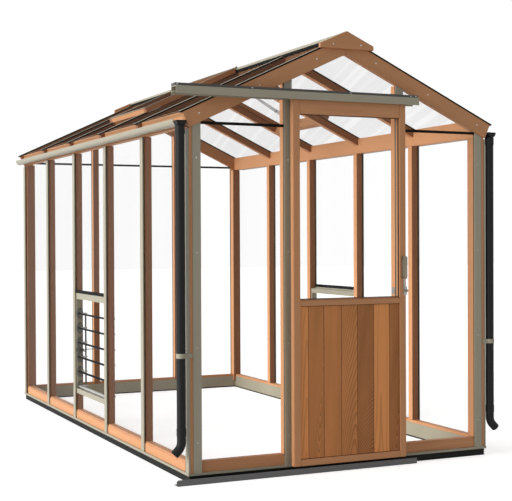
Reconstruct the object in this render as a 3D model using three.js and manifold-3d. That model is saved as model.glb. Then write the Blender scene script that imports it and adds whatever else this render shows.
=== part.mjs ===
import * as THREE from 'three';
import { mergeVertices } from 'three/addons/utils/BufferGeometryUtils.js';
import Module from 'manifold-3d';

const wasm = await Module();
wasm.setup();

// A cedar greenhouse with aluminium cappings, a sliding door, two roof vents and two louvres.
// Millimetres. X runs across the gable, Y from the door to the back, Z up from the ground.
const bay = 745;
const sideBays = 5;
const cornerInset = 22.5;
const gableInset = 53.9;
const gableBay = 557.5;
const doorBay = 735.4;
const pitch = THREE.MathUtils.degToRad(25);
const ridgeHeight = 2495;
const beam = { depth: 45, height: 88.44, housing: 10 };
const fit = 0.3;
const overrun = 60;
const weld = 1e-4;
const half = 0.5;

const length = sideBays * bay + 2 * cornerInset;
const halfWidth = gableInset + gableBay + doorBay * half;
const slopeSin = Math.sin(pitch);
const slopeCos = Math.cos(pitch);
const slopeTan = Math.tan(pitch);
const eavesHeight = ridgeHeight - beam.height - halfWidth * slopeTan;

// Heights above the eaves, for what goes up and down with them.
const rise = {
  jointBar: 14, outlet: 27, gutter: 33, rafterFoot: 46, doorHead: 162, track: 165,
  headGlass: 192, headTop: 222,
};

// Each wall is a stack seen from outside: capping, glass, timber.
const cap = { width: 50, depth: 9.5, wall: 2 };
const glass = { thickness: 4, edge: 7.5, bite: 10 };
const post = { width: 50, depth: 45 };
const glassFace = cap.depth + fit;
const glassBack = glassFace + glass.thickness;
const timberFace = glassBack + fit;
const timberBack = timberFace + post.depth;

const sill = { bottom: 50, top: 114, rebate: 10 };
const corner = { width: 64, stripStart: 10, stripFace: 2 };
const doorHead = {
  bottom: eavesHeight + rise.doorHead,
  top: eavesHeight + rise.headTop,
  glassFoot: eavesHeight + rise.headGlass,
};
const gableRafter = { depth: 90, proud: 10, thickness: 35, overhang: 29, slot: 11 };
const apex = { half: 175, drop: 70, shoulderDrop: 45, rise: 33, proud: 30, lap: 0.5 };
const rafter = { width: 45, depth: 65, overhang: 25 };
const ridge = { half: 17.5, depth: 90, glassGap: 3 };
const plinth = { inset: 6, inner: 62, upstand: 2.5, upstandTop: 97, groove: 3, ribs: 3 };
const trim = { bottom: 40, top: 54, proud: 3, back: 5.7 };
const jointBar = { bottom: eavesHeight + rise.jointBar, height: 16, face: 3 };
const roofCap = { width: 40, thickness: 6, eavesWidth: 14, glassOverhang: 38 };
const ridgeCap = { half: 32, rise: 34, wall: 3 };
const ridgeCapTop = ridgeHeight + ridgeCap.rise;
const gutter = { offset: 37, radius: 31, wall: 2, lip: 6, bracket: 22 };
const outlet = { radius: 28, front: -18, back: 39, lip: 3 };
const gutterHeight = eavesHeight + rise.gutter;
const outletHeight = eavesHeight + rise.outlet;
const pipe = { offset: 38, setback: 10, radius: 25, elbow: 228, bend: 26, tail: 44 };
const clip = { bottom: 686, height: 26, thickness: 3, reach: 24, face: 3.3 };

const postCentres = Array.from({ length: sideBays + 1 }, (_, k) => cornerInset + k * bay);
const middleBay = Math.floor(sideBays * half);
const gableCentres = [halfWidth - gableInset, doorBay * half];

const cedar = new THREE.MeshStandardMaterial({ color: 0xb07850, roughness: 0.65, metalness: 0 });
const cedarBoard = new THREE.MeshStandardMaterial({ color: 0xa86c3e, roughness: 0.6, metalness: 0 });
const sage = new THREE.MeshStandardMaterial({ color: 0x8f9080, roughness: 0.45, metalness: 0.3 });
const steel = new THREE.MeshStandardMaterial({ color: 0xb9bbb8, roughness: 0.35, metalness: 0.9 });
const black = new THREE.MeshStandardMaterial({ color: 0x242427, roughness: 0.5, metalness: 0 });
const paneMaterial = new THREE.MeshStandardMaterial({
  color: 0xdfe9e6, roughness: 0.05, metalness: 0, transparent: true, opacity: 0.25,
});

// Basic solids: straight bars along one axis, from an outline across it.
function shapeOf(points) {
  return new THREE.Shape(points.map(([a, b]) => new THREE.Vector2(a, b)));
}

function extruded(shape, depth) {
  return new THREE.ExtrudeGeometry(shape, { depth, bevelEnabled: false, curveSegments: 12 });
}

function alongZ(points, from, to) {
  return extruded(shapeOf(points), to - from).translate(0, 0, from);
}

function alongY(points, from, to) {
  return extruded(shapeOf(points), to - from).rotateX(Math.PI * half).translate(0, to, 0);
}

function alongX(points, from, to) {
  const axes = new THREE.Matrix4().makeBasis(
    new THREE.Vector3(0, 1, 0), new THREE.Vector3(0, 0, 1), new THREE.Vector3(1, 0, 0),
  );
  return extruded(shapeOf(points), to - from).applyMatrix4(axes).translate(from, 0, 0);
}

function block(x0, x1, y0, y1, z0, z1) {
  const box = new THREE.BoxGeometry(x1 - x0, y1 - y0, z1 - z0);
  return box.translate((x0 + x1) * half, (y0 + y1) * half, (z0 + z1) * half);
}

function rodAlongY(radius, x, z, y0, y1, sides) {
  const rod = new THREE.CylinderGeometry(radius, radius, y1 - y0, sides);
  return rod.translate(x, (y0 + y1) * half, z);
}

// Joins and cuts.
function solidOf(geometry) {
  const bare = geometry.clone();
  bare.deleteAttribute('normal');
  bare.deleteAttribute('uv');
  const merged = mergeVertices(bare, weld);
  return new wasm.Manifold(new wasm.Mesh({
    numProp: 3,
    vertProperties: new Float32Array(merged.attributes.position.array),
    triVerts: new Uint32Array(merged.index.array),
  }));
}

function geometryOf(solid) {
  const mesh = solid.getMesh();
  const geometry = new THREE.BufferGeometry();
  geometry.setAttribute('position', new THREE.BufferAttribute(mesh.vertProperties, 3));
  geometry.setIndex(new THREE.BufferAttribute(mesh.triVerts, 1));
  const flat = geometry.toNonIndexed();
  flat.computeVertexNormals();
  return flat;
}

function join(pieces) {
  const [first, ...rest] = pieces.map(solidOf);
  return geometryOf(rest.reduce((all, piece) => all.add(piece), first));
}

function cut(base, tools) {
  return geometryOf(tools.map(solidOf).reduce((all, tool) => all.subtract(tool), solidOf(base)));
}

// The left half of the house is the right half seen in a mirror.
function mirrored(geometry) {
  const flat = geometry.index ? geometry.toNonIndexed() : geometry.clone();
  flat.deleteAttribute('normal');
  flat.deleteAttribute('uv');
  flat.scale(-1, 1, 1);
  const corners = flat.attributes.position.array;
  for (let start = 0; start < corners.length; start += 9) {
    for (let axis = 0; axis < 3; axis += 1) {
      const second = start + 3 + axis;
      const third = start + 6 + axis;
      [corners[second], corners[third]] = [corners[third], corners[second]];
    }
  }
  flat.computeVertexNormals();
  return flat;
}

// The back gable is the front gable turned round.
function atBack(geometry) {
  return geometry.clone().rotateZ(Math.PI).translate(0, length, 0);
}

// Roof pieces are made flat, with X down the slope and Z square to it, and then laid on the rafters.
function onRoof(geometry) {
  return geometry.clone().rotateY(pitch).translate(0, 0, ridgeHeight);
}

function roofPoint(down, up) {
  return { x: down * slopeCos + up * slopeSin, z: ridgeHeight - down * slopeSin + up * slopeCos };
}

function rafterTopAt(x) {
  return ridgeHeight - Math.abs(x) * slopeTan;
}

const gableDrop = gableRafter.depth / slopeCos;

const greenhouse = new THREE.Group();

function place(name, geometry, material) {
  const mesh = new THREE.Mesh(geometry, material);
  mesh.name = name;
  greenhouse.add(mesh);
}

// Base: a dark ribbed kerb under the walls, with an upstand behind the sills.
function baseRing(outer, inner, from, to) {
  const x0 = halfWidth - outer;
  const x1 = halfWidth - inner;
  const shape = shapeOf([[-x0, outer], [x0, outer], [x0, length - outer], [-x0, length - outer]]);
  const hole = [[-x1, inner], [-x1, length - inner], [x1, length - inner], [x1, inner]];
  shape.holes.push(shapeOf(hole));
  return extruded(shape, to - from).translate(0, 0, from);
}

function makeBase() {
  const height = sill.bottom - fit;
  const step = height / (2 * plinth.ribs + 1);
  const kerb = [baseRing(plinth.inset + plinth.groove, plinth.inner, 0, height)];
  for (let rib = 0; rib <= plinth.ribs; rib += 1) {
    const foot = 2 * rib * step;
    kerb.push(baseRing(plinth.inset, plinth.inner, foot, foot + step));
  }
  const behindSill = timberBack + fit;
  const upstand = baseRing(behindSill, behindSill + plinth.upstand, 0, plinth.upstandTop);
  const clear = timberFace + corner.width + fit;
  const doorway = doorBay * half + post.width * half + fit;
  const low = height;
  const high = plinth.upstandTop + overrun;
  const corners = [
    block(halfWidth - clear, halfWidth + overrun, -overrun, clear, low, high),
    block(halfWidth - clear, halfWidth + overrun, length - clear, length + overrun, low, high),
  ];
  const mirroredCorners = corners.map(mirrored);
  const openDoor = block(-doorway, doorway, -overrun, clear, low, high);
  const cutUpstand = cut(upstand, [...corners, ...mirroredCorners, openDoor]);
  place('base_plinth', join([...kerb, cutUpstand]), black);
}

// Gable frames: corner posts, sills and door posts, jointed as one panel.
function cornerPost() {
  const back = timberFace + corner.width;
  const gableRebate = gableInset + glass.edge - fit;
  const sideRebate = cornerInset + glass.edge - fit;
  const stripEnd = gableInset - cap.width * half - fit;
  const outline = [
    [corner.stripStart, corner.stripFace],
    [stripEnd, corner.stripFace],
    [stripEnd, glassFace],
    [gableRebate, glassFace],
    [gableRebate, timberFace],
    [back, timberFace],
    [back, back],
    [timberFace, back],
    [timberFace, sideRebate],
    [corner.stripStart, sideRebate],
  ];
  return alongZ(outline.map(([inX, y]) => [halfWidth - inX, y]), sill.bottom, ridgeHeight);
}

function sillOutline() {
  return [
    [glassFace, sill.bottom],
    [timberBack, sill.bottom],
    [timberBack, sill.top],
    [timberFace, sill.top],
    [timberFace, sill.top - sill.rebate],
    [glassFace, sill.top - sill.rebate],
  ];
}

function aboveGableRafters(clearance) {
  const reach = halfWidth + overrun;
  const low = ridgeHeight - gableDrop - clearance;
  const outline = [
    [0, low],
    [reach, low - reach * slopeTan],
    [reach, ridgeHeight + overrun],
    [-reach, ridgeHeight + overrun],
    [-reach, low - reach * slopeTan],
  ];
  return alongY(outline, -overrun, corner.width + overrun);
}

function gablePost(centre) {
  const side = post.width * half;
  return block(centre - side, centre + side, timberFace, timberBack, sill.bottom, ridgeHeight);
}

function gableFrame(withDoor) {
  const inner = gableCentres[1];
  const cornerInner = halfWidth - timberFace - corner.width * half;
  const right = [cornerPost(), gablePost(inner)];
  const left = right.map(mirrored);
  const sillEnd = withDoor ? inner : -cornerInner;
  const sills = [alongX(sillOutline(), sillEnd, cornerInner)];
  if (withDoor) sills.push(alongX(sillOutline(), -cornerInner, -inner));
  const head = block(-inner, inner, timberFace, timberBack, doorHead.bottom, doorHead.top);
  const timbers = [...right, ...left, ...sills, ...(withDoor ? [head] : [])];
  const frame = join(timbers);
  const beamStart = gableRafter.thickness - gableRafter.proud;
  const beamSpace = block(
    halfWidth - beam.depth - fit - corner.width, halfWidth + overrun,
    beamStart, corner.width + overrun, eavesHeight - fit, ridgeHeight + overrun,
  );
  const toe = block(
    halfWidth - corner.width, halfWidth + overrun, -overrun, glassFace - fit,
    sill.bottom - overrun, trim.top + fit,
  );
  return cut(frame, [
    aboveGableRafters(fit), beamSpace, mirrored(beamSpace), toe, mirrored(toe),
  ]);
}

// Side frames: a sill and the posts between the corners.
function sideFrame() {
  const back = timberFace + corner.width + fit;
  const rail = alongY(sillOutline().map(([d, z]) => [halfWidth - d, z]), back, length - back);
  const posts = postCentres.slice(1, -1).map((y) => block(
    halfWidth - timberBack, halfWidth - timberFace,
    y - post.width * half, y + post.width * half, sill.bottom, eavesHeight - fit,
  ));
  return join([rail, ...posts]);
}

// Vents, needed by the roof frame: a sash lid over the middle bay.
const vent = { top: 23, bottom: 753.6, seat: 4.6, height: 36, rail: 45, bead: 4, web: 5 };
const opener = {
  setback: 62.6, frameAngle: THREE.MathUtils.degToRad(5), sashAngle: THREE.MathUtils.degToRad(3.3),
  elbowRadius: 268, width: 18, thickness: 3, lane: 2, pin: 4, elbowPin: 3, elbowRoom: 2.5,
  tube: 13, tubeLength: 150, tubeStart: 30,
};
const trimmer = { width: 40, depth: 45, lap: 20 };
const ventFront = postCentres[middleBay] - post.width * half;
const ventBack = postCentres[middleBay + 1] + post.width * half;
const ventMiddle = (ventFront + ventBack) * half;
const trimmerTop = vent.bottom - trimmer.width - trimmer.lap * half;
const armReach = vent.bottom - vent.top - opener.setback;
const framePivot = aboutHinge(armReach, opener.frameAngle);
const sashPivot = aboutHinge(armReach, opener.sashAngle);
const elbow = aboutHinge(opener.elbowRadius, (opener.frameAngle + opener.sashAngle) * half);

// Roof frames: an eaves beam, the rafters housed in it, and the trimmer below the vent.
function commonRafter(y) {
  const start = ridge.half + fit;
  const end = halfWidth + rafter.overhang;
  const drop = rafter.depth / slopeCos;
  const housed = halfWidth - beam.housing;
  const inBeam = halfWidth - beam.depth + beam.housing;
  const outline = [
    [start, rafterTopAt(start)],
    [end, rafterTopAt(end)],
    [end, eavesHeight + rise.rafterFoot],
    [housed, eavesHeight + rise.rafterFoot],
    [inBeam, rafterTopAt(inBeam) - drop],
    [start, rafterTopAt(start) - drop],
  ];
  return alongY(outline, y - rafter.width * half, y + rafter.width * half);
}

function roofFrame() {
  const start = gableRafter.thickness - gableRafter.proud + fit;
  const inner = halfWidth - beam.depth;
  const beamOutline = [
    [halfWidth, eavesHeight],
    [halfWidth, rafterTopAt(halfWidth)],
    [inner, rafterTopAt(inner)],
    [inner, eavesHeight],
  ];
  const eavesBeam = alongY(beamOutline, start, length - start);
  const groove = block(
    halfWidth - timberFace, halfWidth - cap.depth,
    cornerInset, length - cornerInset, eavesHeight - overrun, eavesHeight + glass.bite + fit,
  );
  const rafters = postCentres.slice(1, -1).map(commonRafter);
  const between = onRoof(block(
    trimmerTop, trimmerTop + trimmer.width, postCentres[middleBay], postCentres[middleBay + 1],
    -trimmer.depth, 0,
  ));
  return join([cut(eavesBeam, [groove]), ...rafters, between, openerBracket()]);
}

// The opener's pivots are set out round the vent's hinge, so that its two arms match.
function aboutHinge(radius, angle) {
  return {
    down: vent.top + radius * Math.cos(angle),
    up: vent.height - radius * Math.sin(angle),
  };
}

function openerBracket() {
  const side = opener.width * half;
  const back = ventMiddle - opener.thickness - fit;
  const plate = block(
    framePivot.down - side, trimmerTop + side, back - opener.thickness, back,
    framePivot.up - side, framePivot.up + side,
  );
  const eye = rodAlongY(
    opener.pin + fit, framePivot.down, framePivot.up, back - overrun, back + overrun, 12,
  );
  return onRoof(cut(plate, [eye]));
}

function ridgeBeam() {
  const start = gableRafter.thickness - gableRafter.proud + fit;
  const top = rafterTopAt(ridge.half) - fit;
  return block(-ridge.half, ridge.half, start, length - start, top - ridge.depth, top);
}

// Gable rafters: a pair with a groove for the gable glass, and the board over their joint.
function gableRafters() {
  const end = halfWidth + gableRafter.overhang;
  const endX = end - gableRafter.depth * slopeSin;
  const endZ = rafterTopAt(end) - gableRafter.depth * slopeCos;
  const chevron = [
    [0, ridgeHeight],
    [end, rafterTopAt(end)],
    [endX, endZ],
    [0, ridgeHeight - gableDrop],
    [-endX, endZ],
    [-end, rafterTopAt(end)],
  ];
  const back = gableRafter.thickness - gableRafter.proud;
  const pair = alongY(chevron, -gableRafter.proud, back);
  const slotRise = gableRafter.slot / slopeCos;
  const slotOuter = halfWidth - gableInset;
  const low = ridgeHeight - gableDrop;
  const slot = alongY([
    [0, low + slotRise],
    [slotOuter, low + slotRise - slotOuter * slopeTan],
    [slotOuter, low - overrun - slotOuter * slopeTan],
    [0, low - overrun],
    [-slotOuter, low - overrun - slotOuter * slopeTan],
    [-slotOuter, low + slotRise - slotOuter * slopeTan],
  ], glassFace - fit, glassBack + fit);
  const board = alongY([
    [0, ridgeHeight + apex.rise],
    [apex.half, ridgeHeight - apex.shoulderDrop],
    [apex.half, ridgeHeight - apex.drop],
    [-apex.half, ridgeHeight - apex.drop],
    [-apex.half, ridgeHeight - apex.shoulderDrop],
  ], -apex.proud, -gableRafter.proud + apex.lap);
  return join([cut(pair, [slot]), board]);
}

// Louvre frame sizes, needed by the side glass.
const louvre = {
  foot: 232, head: 951, seal: 9, bottomRail: 35, topRail: 35, wall: 14, depth: 36,
  pivotDepth: 30, firstPivot: 51, blades: 6, spacing: 104,
};
const louvreFront = postCentres[middleBay] + glass.edge;
const louvreBack = postCentres[middleBay + 1] - glass.edge;

// Glass: one sheet for each wall and slope, lapped under the cappings.
function gableGlass(withDoor) {
  const edge = halfWidth - gableInset - glass.edge;
  const foot = sill.top - sill.rebate + fit;
  const low = ridgeHeight - gableDrop + glass.bite / slopeCos;
  const doorEdge = doorBay * half - glass.edge;
  const outline = [[0, low], [edge, low - edge * slopeTan], [edge, foot]];
  if (withDoor) {
    outline.push([doorEdge, foot], [doorEdge, doorHead.glassFoot]);
    outline.push([-doorEdge, doorHead.glassFoot], [-doorEdge, foot]);
  }
  outline.push([-edge, foot], [-edge, low - edge * slopeTan]);
  return alongY(outline, glassFace, glassBack);
}

function sideGlass() {
  const front = cornerInset + glass.edge;
  const foot = sill.top - sill.rebate + fit;
  const head = eavesHeight + glass.bite;
  const shape = shapeOf([
    [front, foot], [length - front, foot], [length - front, head], [front, head],
  ]);
  const y0 = louvreFront - fit;
  const y1 = louvreBack + fit;
  const z0 = louvre.foot - fit;
  const z1 = louvre.head + fit;
  shape.holes.push(shapeOf([[y0, z0], [y0, z1], [y1, z1], [y1, z0]]));
  const axes = new THREE.Matrix4().makeBasis(
    new THREE.Vector3(0, 1, 0), new THREE.Vector3(0, 0, 1), new THREE.Vector3(1, 0, 0),
  );
  return extruded(shape, glass.thickness).applyMatrix4(axes).translate(halfWidth - glassBack, 0, 0);
}

const roofGlass = {
  start: ridge.glassGap / slopeCos,
  end: (halfWidth + roofCap.glassOverhang) / slopeCos,
  front: -gableRafter.proud + apex.lap + fit,
  bottom: fit,
  top: fit + glass.thickness,
};

function slopeGlass() {
  const sheet = block(
    roofGlass.start, roofGlass.end, roofGlass.front, length - roofGlass.front,
    roofGlass.bottom, roofGlass.top,
  );
  const hatch = block(
    -overrun, trimmerTop + trimmer.width * half,
    postCentres[middleBay] + glass.edge, postCentres[middleBay + 1] - glass.edge,
    -overrun, overrun,
  );
  return onRoof(cut(sheet, [hatch]));
}

// Cappings: aluminium channels over the posts, tied by the trim under the sill.
function channel(from, to, face) {
  const inner = face + cap.depth;
  return [
    [from, face], [to, face], [to, inner], [to - cap.wall, inner],
    [to - cap.wall, face + cap.wall], [from + cap.wall, face + cap.wall],
    [from + cap.wall, inner], [from, inner],
  ];
}

function gableCappings(withDoor) {
  const side = cap.width * half;
  const uprights = [...gableCentres, ...gableCentres.map((x) => -x)].map((x) => alongZ(
    channel(x - side, x + side, 0), sill.bottom, ridgeHeight,
  ));
  const [outer, inner] = gableCentres;
  const trimEnd = halfWidth - cap.depth - fit;
  const strip = block(-trimEnd, trimEnd, -trim.proud, trim.back, trim.bottom, trim.top);
  const bars = [];
  const barInner = withDoor ? inner : 0;
  bars.push(block(
    barInner, outer, jointBar.face, cap.depth, jointBar.bottom, jointBar.bottom + jointBar.height,
  ));
  bars.push(mirrored(bars[0]));
  if (withDoor) {
    const foot = doorHead.glassFoot - cap.width * half * half;
    bars.push(block(-inner, inner, cap.wall, cap.depth, foot, foot + cap.width * half));
  }
  return cut(join([...uprights, strip, ...bars]), [aboveGableRafters(fit)]);
}

function sideCappings() {
  const side = cap.width * half;
  const cornerTop = rafterTopAt(halfWidth) - gableDrop - fit;
  const uprights = postCentres.map((y, k) => {
    const first = k === 0 ? 0 : y - side;
    const last = k === sideBays ? length : y + side;
    const inBay = k > 0 && k < sideBays;
    const outline = channel(first, last, 0).map(([a, d]) => [halfWidth - d, a]);
    return alongZ(outline, sill.bottom, inBay ? eavesHeight - fit : cornerTop);
  });
  const strip = block(
    halfWidth - trim.back, halfWidth + trim.proud, -trim.proud, length + trim.proud,
    trim.bottom, trim.top,
  );
  const ends = [-trim.proud, length - trim.back].map((y) => block(
    halfWidth - cap.depth, halfWidth + trim.proud, y, y + trim.proud + trim.back,
    trim.bottom, trim.top,
  ));
  const bar = block(
    halfWidth - cap.depth, halfWidth - jointBar.face, postCentres[middleBay],
    postCentres[middleBay + 1], louvre.head, louvre.head + jointBar.height,
  );
  return join([...uprights, strip, ...ends, bar]);
}

function ridgeCapping() {
  const edge = ridgeCap.half;
  const edgeTop = ridgeCapTop - edge * slopeTan;
  const inner = edge - ridgeCap.wall;
  const seat = ridgeHeight + (roofGlass.top + fit + fit) / slopeCos - inner * slopeTan;
  const drop = ridgeCap.wall / slopeCos;
  const outline = [
    [0, ridgeCapTop],
    [edge, edgeTop],
    [edge, seat],
    [inner, seat],
    [inner, edgeTop - drop],
    [0, ridgeCapTop - drop],
    [-inner, edgeTop - drop],
    [-inner, seat],
    [-edge, seat],
    [-edge, edgeTop],
  ];
  return alongY(outline, roofGlass.front, length - roofGlass.front);
}

// A bead on a web carries the upper edge of the vent sash.
function hingeBead() {
  const axis = roofPoint(vent.top, vent.height);
  const webTop = ridgeCapTop - ridgeCap.half * slopeTan;
  return join([
    block(
      ridgeCap.half - ridgeCap.wall * half, axis.x - fit, ventFront, ventBack,
      webTop - vent.web, webTop + vent.web * half,
    ),
    rodAlongY(vent.bead, axis.x, axis.z, ventFront, ventBack, 12),
  ]);
}

function slopeCappings() {
  const side = roofCap.width * half;
  const low = roofGlass.top + fit;
  const high = low + roofCap.thickness;
  const end = roofGlass.end;
  const verge = gableRafter.thickness * half - gableRafter.proud;
  const centres = [verge, ...postCentres.slice(1, -1), length - verge];
  const bars = centres.map((y, k) => {
    const besideVent = k === middleBay || k === middleBay + 1;
    const start = besideVent ? vent.bottom + fit : ridgeCap.half - ridgeCap.wall;
    const atVerge = k === 0 || k === sideBays;
    const wide = atVerge ? gableRafter.thickness * half - apex.lap - fit : side;
    return block(start, end, y - wide, y + wide, low, high);
  });
  const front = roofGlass.front;
  bars.push(block(end - roofCap.eavesWidth, end, front, length - front, low, low + cap.wall));
  return onRoof(join(bars));
}

function roofCappings() {
  const right = join([slopeCappings(), hingeBead()]);
  return join([ridgeCapping(), right, mirrored(right)]);
}

// Gutters: half-round troughs between the gable rafters, closed at the back, on brackets.
function troughOutline(radius, wall, lip, centreX, centreZ) {
  const shape = new THREE.Shape();
  shape.moveTo(centreX - radius, centreZ + lip);
  shape.lineTo(centreX - radius, centreZ);
  shape.absarc(centreX, centreZ, radius, Math.PI, 2 * Math.PI, false);
  shape.lineTo(centreX + radius, centreZ + lip);
  shape.lineTo(centreX + radius - wall, centreZ + lip);
  shape.lineTo(centreX + radius - wall, centreZ);
  shape.absarc(centreX, centreZ, radius - wall, 2 * Math.PI, Math.PI, true);
  shape.lineTo(centreX - radius + wall, centreZ + lip);
  return shape;
}

function fullTrough(radius, lip, centreX, centreZ) {
  const shape = new THREE.Shape();
  shape.moveTo(centreX - radius, centreZ + lip);
  shape.absarc(centreX, centreZ, radius, Math.PI, 2 * Math.PI, false);
  shape.lineTo(centreX + radius, centreZ + lip);
  return shape;
}

function shapeAlongY(shape, from, to) {
  return extruded(shape, to - from).rotateX(Math.PI * half).translate(0, to, 0);
}

function gutterRun() {
  const x = halfWidth + gutter.offset;
  const front = outlet.back + fit;
  const back = length - gableRafter.thickness + gableRafter.proud - fit;
  const run = troughOutline(gutter.radius, gutter.wall, gutter.lip, x, gutterHeight);
  const end = fullTrough(gutter.radius, gutter.lip, x, gutterHeight);
  const top = gutterHeight + gutter.lip;
  const brackets = postCentres.slice(1, -1).map((y) => block(
    halfWidth + fit, x - gutter.radius + gutter.wall * half,
    y - gutter.bracket * half, y + gutter.bracket * half, top - gutter.bracket, top,
  ));
  return join([
    shapeAlongY(run, front, back), shapeAlongY(end, back - gutter.wall, back), ...brackets,
  ]);
}

// Downpipes: an outlet at the gutter's front end, the pipe, an angled shoe and a clip.
function downpipe() {
  const x = halfWidth + pipe.offset;
  const y = pipe.setback;
  const cup = troughOutline(outlet.radius, gutter.wall, outlet.lip, x, outletHeight);
  const cupEnd = fullTrough(outlet.radius, outlet.lip, x, outletHeight);
  const trough = shapeAlongY(cup, outlet.front, outlet.back);
  const stop = shapeAlongY(cupEnd, outlet.front, outlet.front + gutter.wall);
  const cupFloor = outletHeight - outlet.radius;
  const straight = new THREE.CylinderGeometry(
    pipe.radius, pipe.radius, cupFloor + gutter.wall - pipe.elbow, 16,
  ).rotateX(Math.PI * half).translate(x, y, (cupFloor + gutter.wall + pipe.elbow) * half);
  const diagonal = Math.SQRT1_2 * (pipe.bend + pipe.tail);
  const path = new THREE.CurvePath();
  const knee = new THREE.Vector3(x, y, pipe.elbow - pipe.bend);
  const bendEnd = new THREE.Vector3(
    x + pipe.bend * Math.SQRT1_2, y, knee.z - pipe.bend * Math.SQRT1_2,
  );
  const tail = new THREE.Vector3(x + diagonal, y, knee.z - diagonal);
  const top = new THREE.Vector3(x, y, pipe.elbow + fit);
  path.add(new THREE.QuadraticBezierCurve3(top, knee, bendEnd));
  path.add(new THREE.LineCurve3(bendEnd, tail));
  const ring = new THREE.Shape();
  ring.absarc(0, 0, pipe.radius, 0, 2 * Math.PI, false);
  const shoe = new THREE.ExtrudeGeometry(ring, {
    steps: 10, extrudePath: path, bevelEnabled: false, curveSegments: 8,
  });
  const strap = new THREE.CylinderGeometry(
    pipe.radius + clip.thickness, pipe.radius + clip.thickness, clip.height, 16,
  ).rotateX(Math.PI * half).translate(x, y, clip.bottom + clip.height * half);
  const tab = block(
    halfWidth - clip.reach, x, -clip.face, -fit, clip.bottom, clip.bottom + clip.height,
  );
  return join([trough, stop, straight, shoe, strap, tab]);
}

makeBase();
place('gable_frame_front', gableFrame(true), cedar);
place('gable_frame_rear', atBack(gableFrame(false)), cedar);
const rightSide = sideFrame();
place('side_frame_right', rightSide, cedar);
place('side_frame_left', mirrored(rightSide), cedar);
const rightRoof = roofFrame();
place('roof_frame_right', rightRoof, cedar);
place('roof_frame_left', mirrored(rightRoof), cedar);
place('ridge_beam', ridgeBeam(), cedar);
place('gable_rafters_front', gableRafters(), cedar);
place('gable_rafters_rear', atBack(gableRafters()), cedar);
place('glass_front', gableGlass(true), paneMaterial);
place('glass_rear', atBack(gableGlass(false)), paneMaterial);
place('glass_right', sideGlass(), paneMaterial);
place('glass_left', mirrored(sideGlass()), paneMaterial);
place('glass_roof_right', slopeGlass(), paneMaterial);
place('glass_roof_left', mirrored(slopeGlass()), paneMaterial);
place('capping_front', gableCappings(true), sage);
place('capping_rear', atBack(gableCappings(false)), sage);
const rightCaps = sideCappings();
place('capping_right', rightCaps, sage);
place('capping_left', mirrored(rightCaps), sage);
place('capping_roof', roofCappings(), sage);
const rightGutter = gutterRun();
place('gutter_right', rightGutter, sage);
place('gutter_left', mirrored(rightGutter), sage);
const rightPipe = downpipe();
place('downpipe_right', rightPipe, black);
place('downpipe_left', mirrored(rightPipe), black);

// Sliding door tracks: a hooded rail on the gable rafters and a slotted guide on the ground.
const track = {
  left: -1074, right: 451, front: 85, strip: 70, wall: 4, ledgeRise: 14, ledgeReach: 42,
  ledgeWall: 3, ledgeLip: 7, hoodHeight: 43, height: 59,
};
const trackBottom = eavesHeight + rise.track;
const ledgeHeight = trackBottom + track.ledgeRise;
const guide = { left: -1062, right: 451, front: 49, back: 31, top: 34, lip: 26, wall: 3 };

function topTrack() {
  const back = -gableRafter.proud - fit;
  const backInner = back - track.wall;
  const top = trackBottom + track.height;
  const hood = trackBottom + track.hoodHeight;
  const roof = hood - track.wall;
  const lipInner = track.ledgeReach - track.ledgeWall;
  return alongX([
    [-track.front, trackBottom],
    [-track.front, hood],
    [-track.strip, hood],
    [-track.strip, top],
    [back, top],
    [back, trackBottom],
    [backInner, trackBottom],
    [backInner, ledgeHeight],
    [-track.ledgeReach, ledgeHeight],
    [-track.ledgeReach, ledgeHeight + track.ledgeLip],
    [-lipInner, ledgeHeight + track.ledgeLip],
    [-lipInner, ledgeHeight + track.ledgeWall],
    [backInner, ledgeHeight + track.ledgeWall],
    [backInner, roof],
    [-track.front + track.wall, roof],
    [-track.front + track.wall, trackBottom],
  ], track.left, track.right);
}

function bottomTrack() {
  const slotFront = guide.wall - guide.front;
  const slotBack = -guide.back - guide.wall;
  const heel = trim.back - fit;
  return alongX([
    [-guide.front, 0],
    [-guide.front, guide.top],
    [slotFront, guide.top],
    [slotFront, guide.wall],
    [slotBack, guide.wall],
    [slotBack, guide.lip],
    [-guide.back, guide.lip],
    [-guide.back, guide.wall],
    [heel, guide.wall],
    [heel, 0],
  ], guide.left, guide.right);
}

place('door_track_top', topTrack(), sage);
place('door_track_bottom', bottomTrack(), sage);

// Sliding door: a cedar frame, boarded below and glazed above, hung from two rollers.
const door = {
  front: 66, back: 28, bottom: 50, stile: 42, bottomRail: 38, lockRail: 953, lockRailTop: 990,
  groove: 6, glassFace: 50, boardFace: 58, boardThickness: 12, veeDepth: 2, veeHalf: 1.6,
  topRail: 86, cover: 7,
};
const doorTop = trackBottom + door.cover;
const topRailFoot = doorTop - door.topRail;
const roller = { radius: 9.7, bore: 3.3, pin: 3, front: 36, back: 26, inset: 110 };
const hanger = { front: 50, thickness: 4, half: 20, rise: 28, sink: 10 };
const runner = { front: 43, thickness: 5, bottom: 12, lap: 8, half: 20, inset: 60 };
const doorHalf = doorBay * half;
const rollerHeight = ledgeHeight + track.ledgeWall + fit + roller.radius;
const rollerCentres = [-doorHalf + roller.inset, doorHalf - roller.inset];
const boardShares = [0.089, 0.149, 0.172, 0.158, 0.163, 0.159, 0.11];

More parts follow.
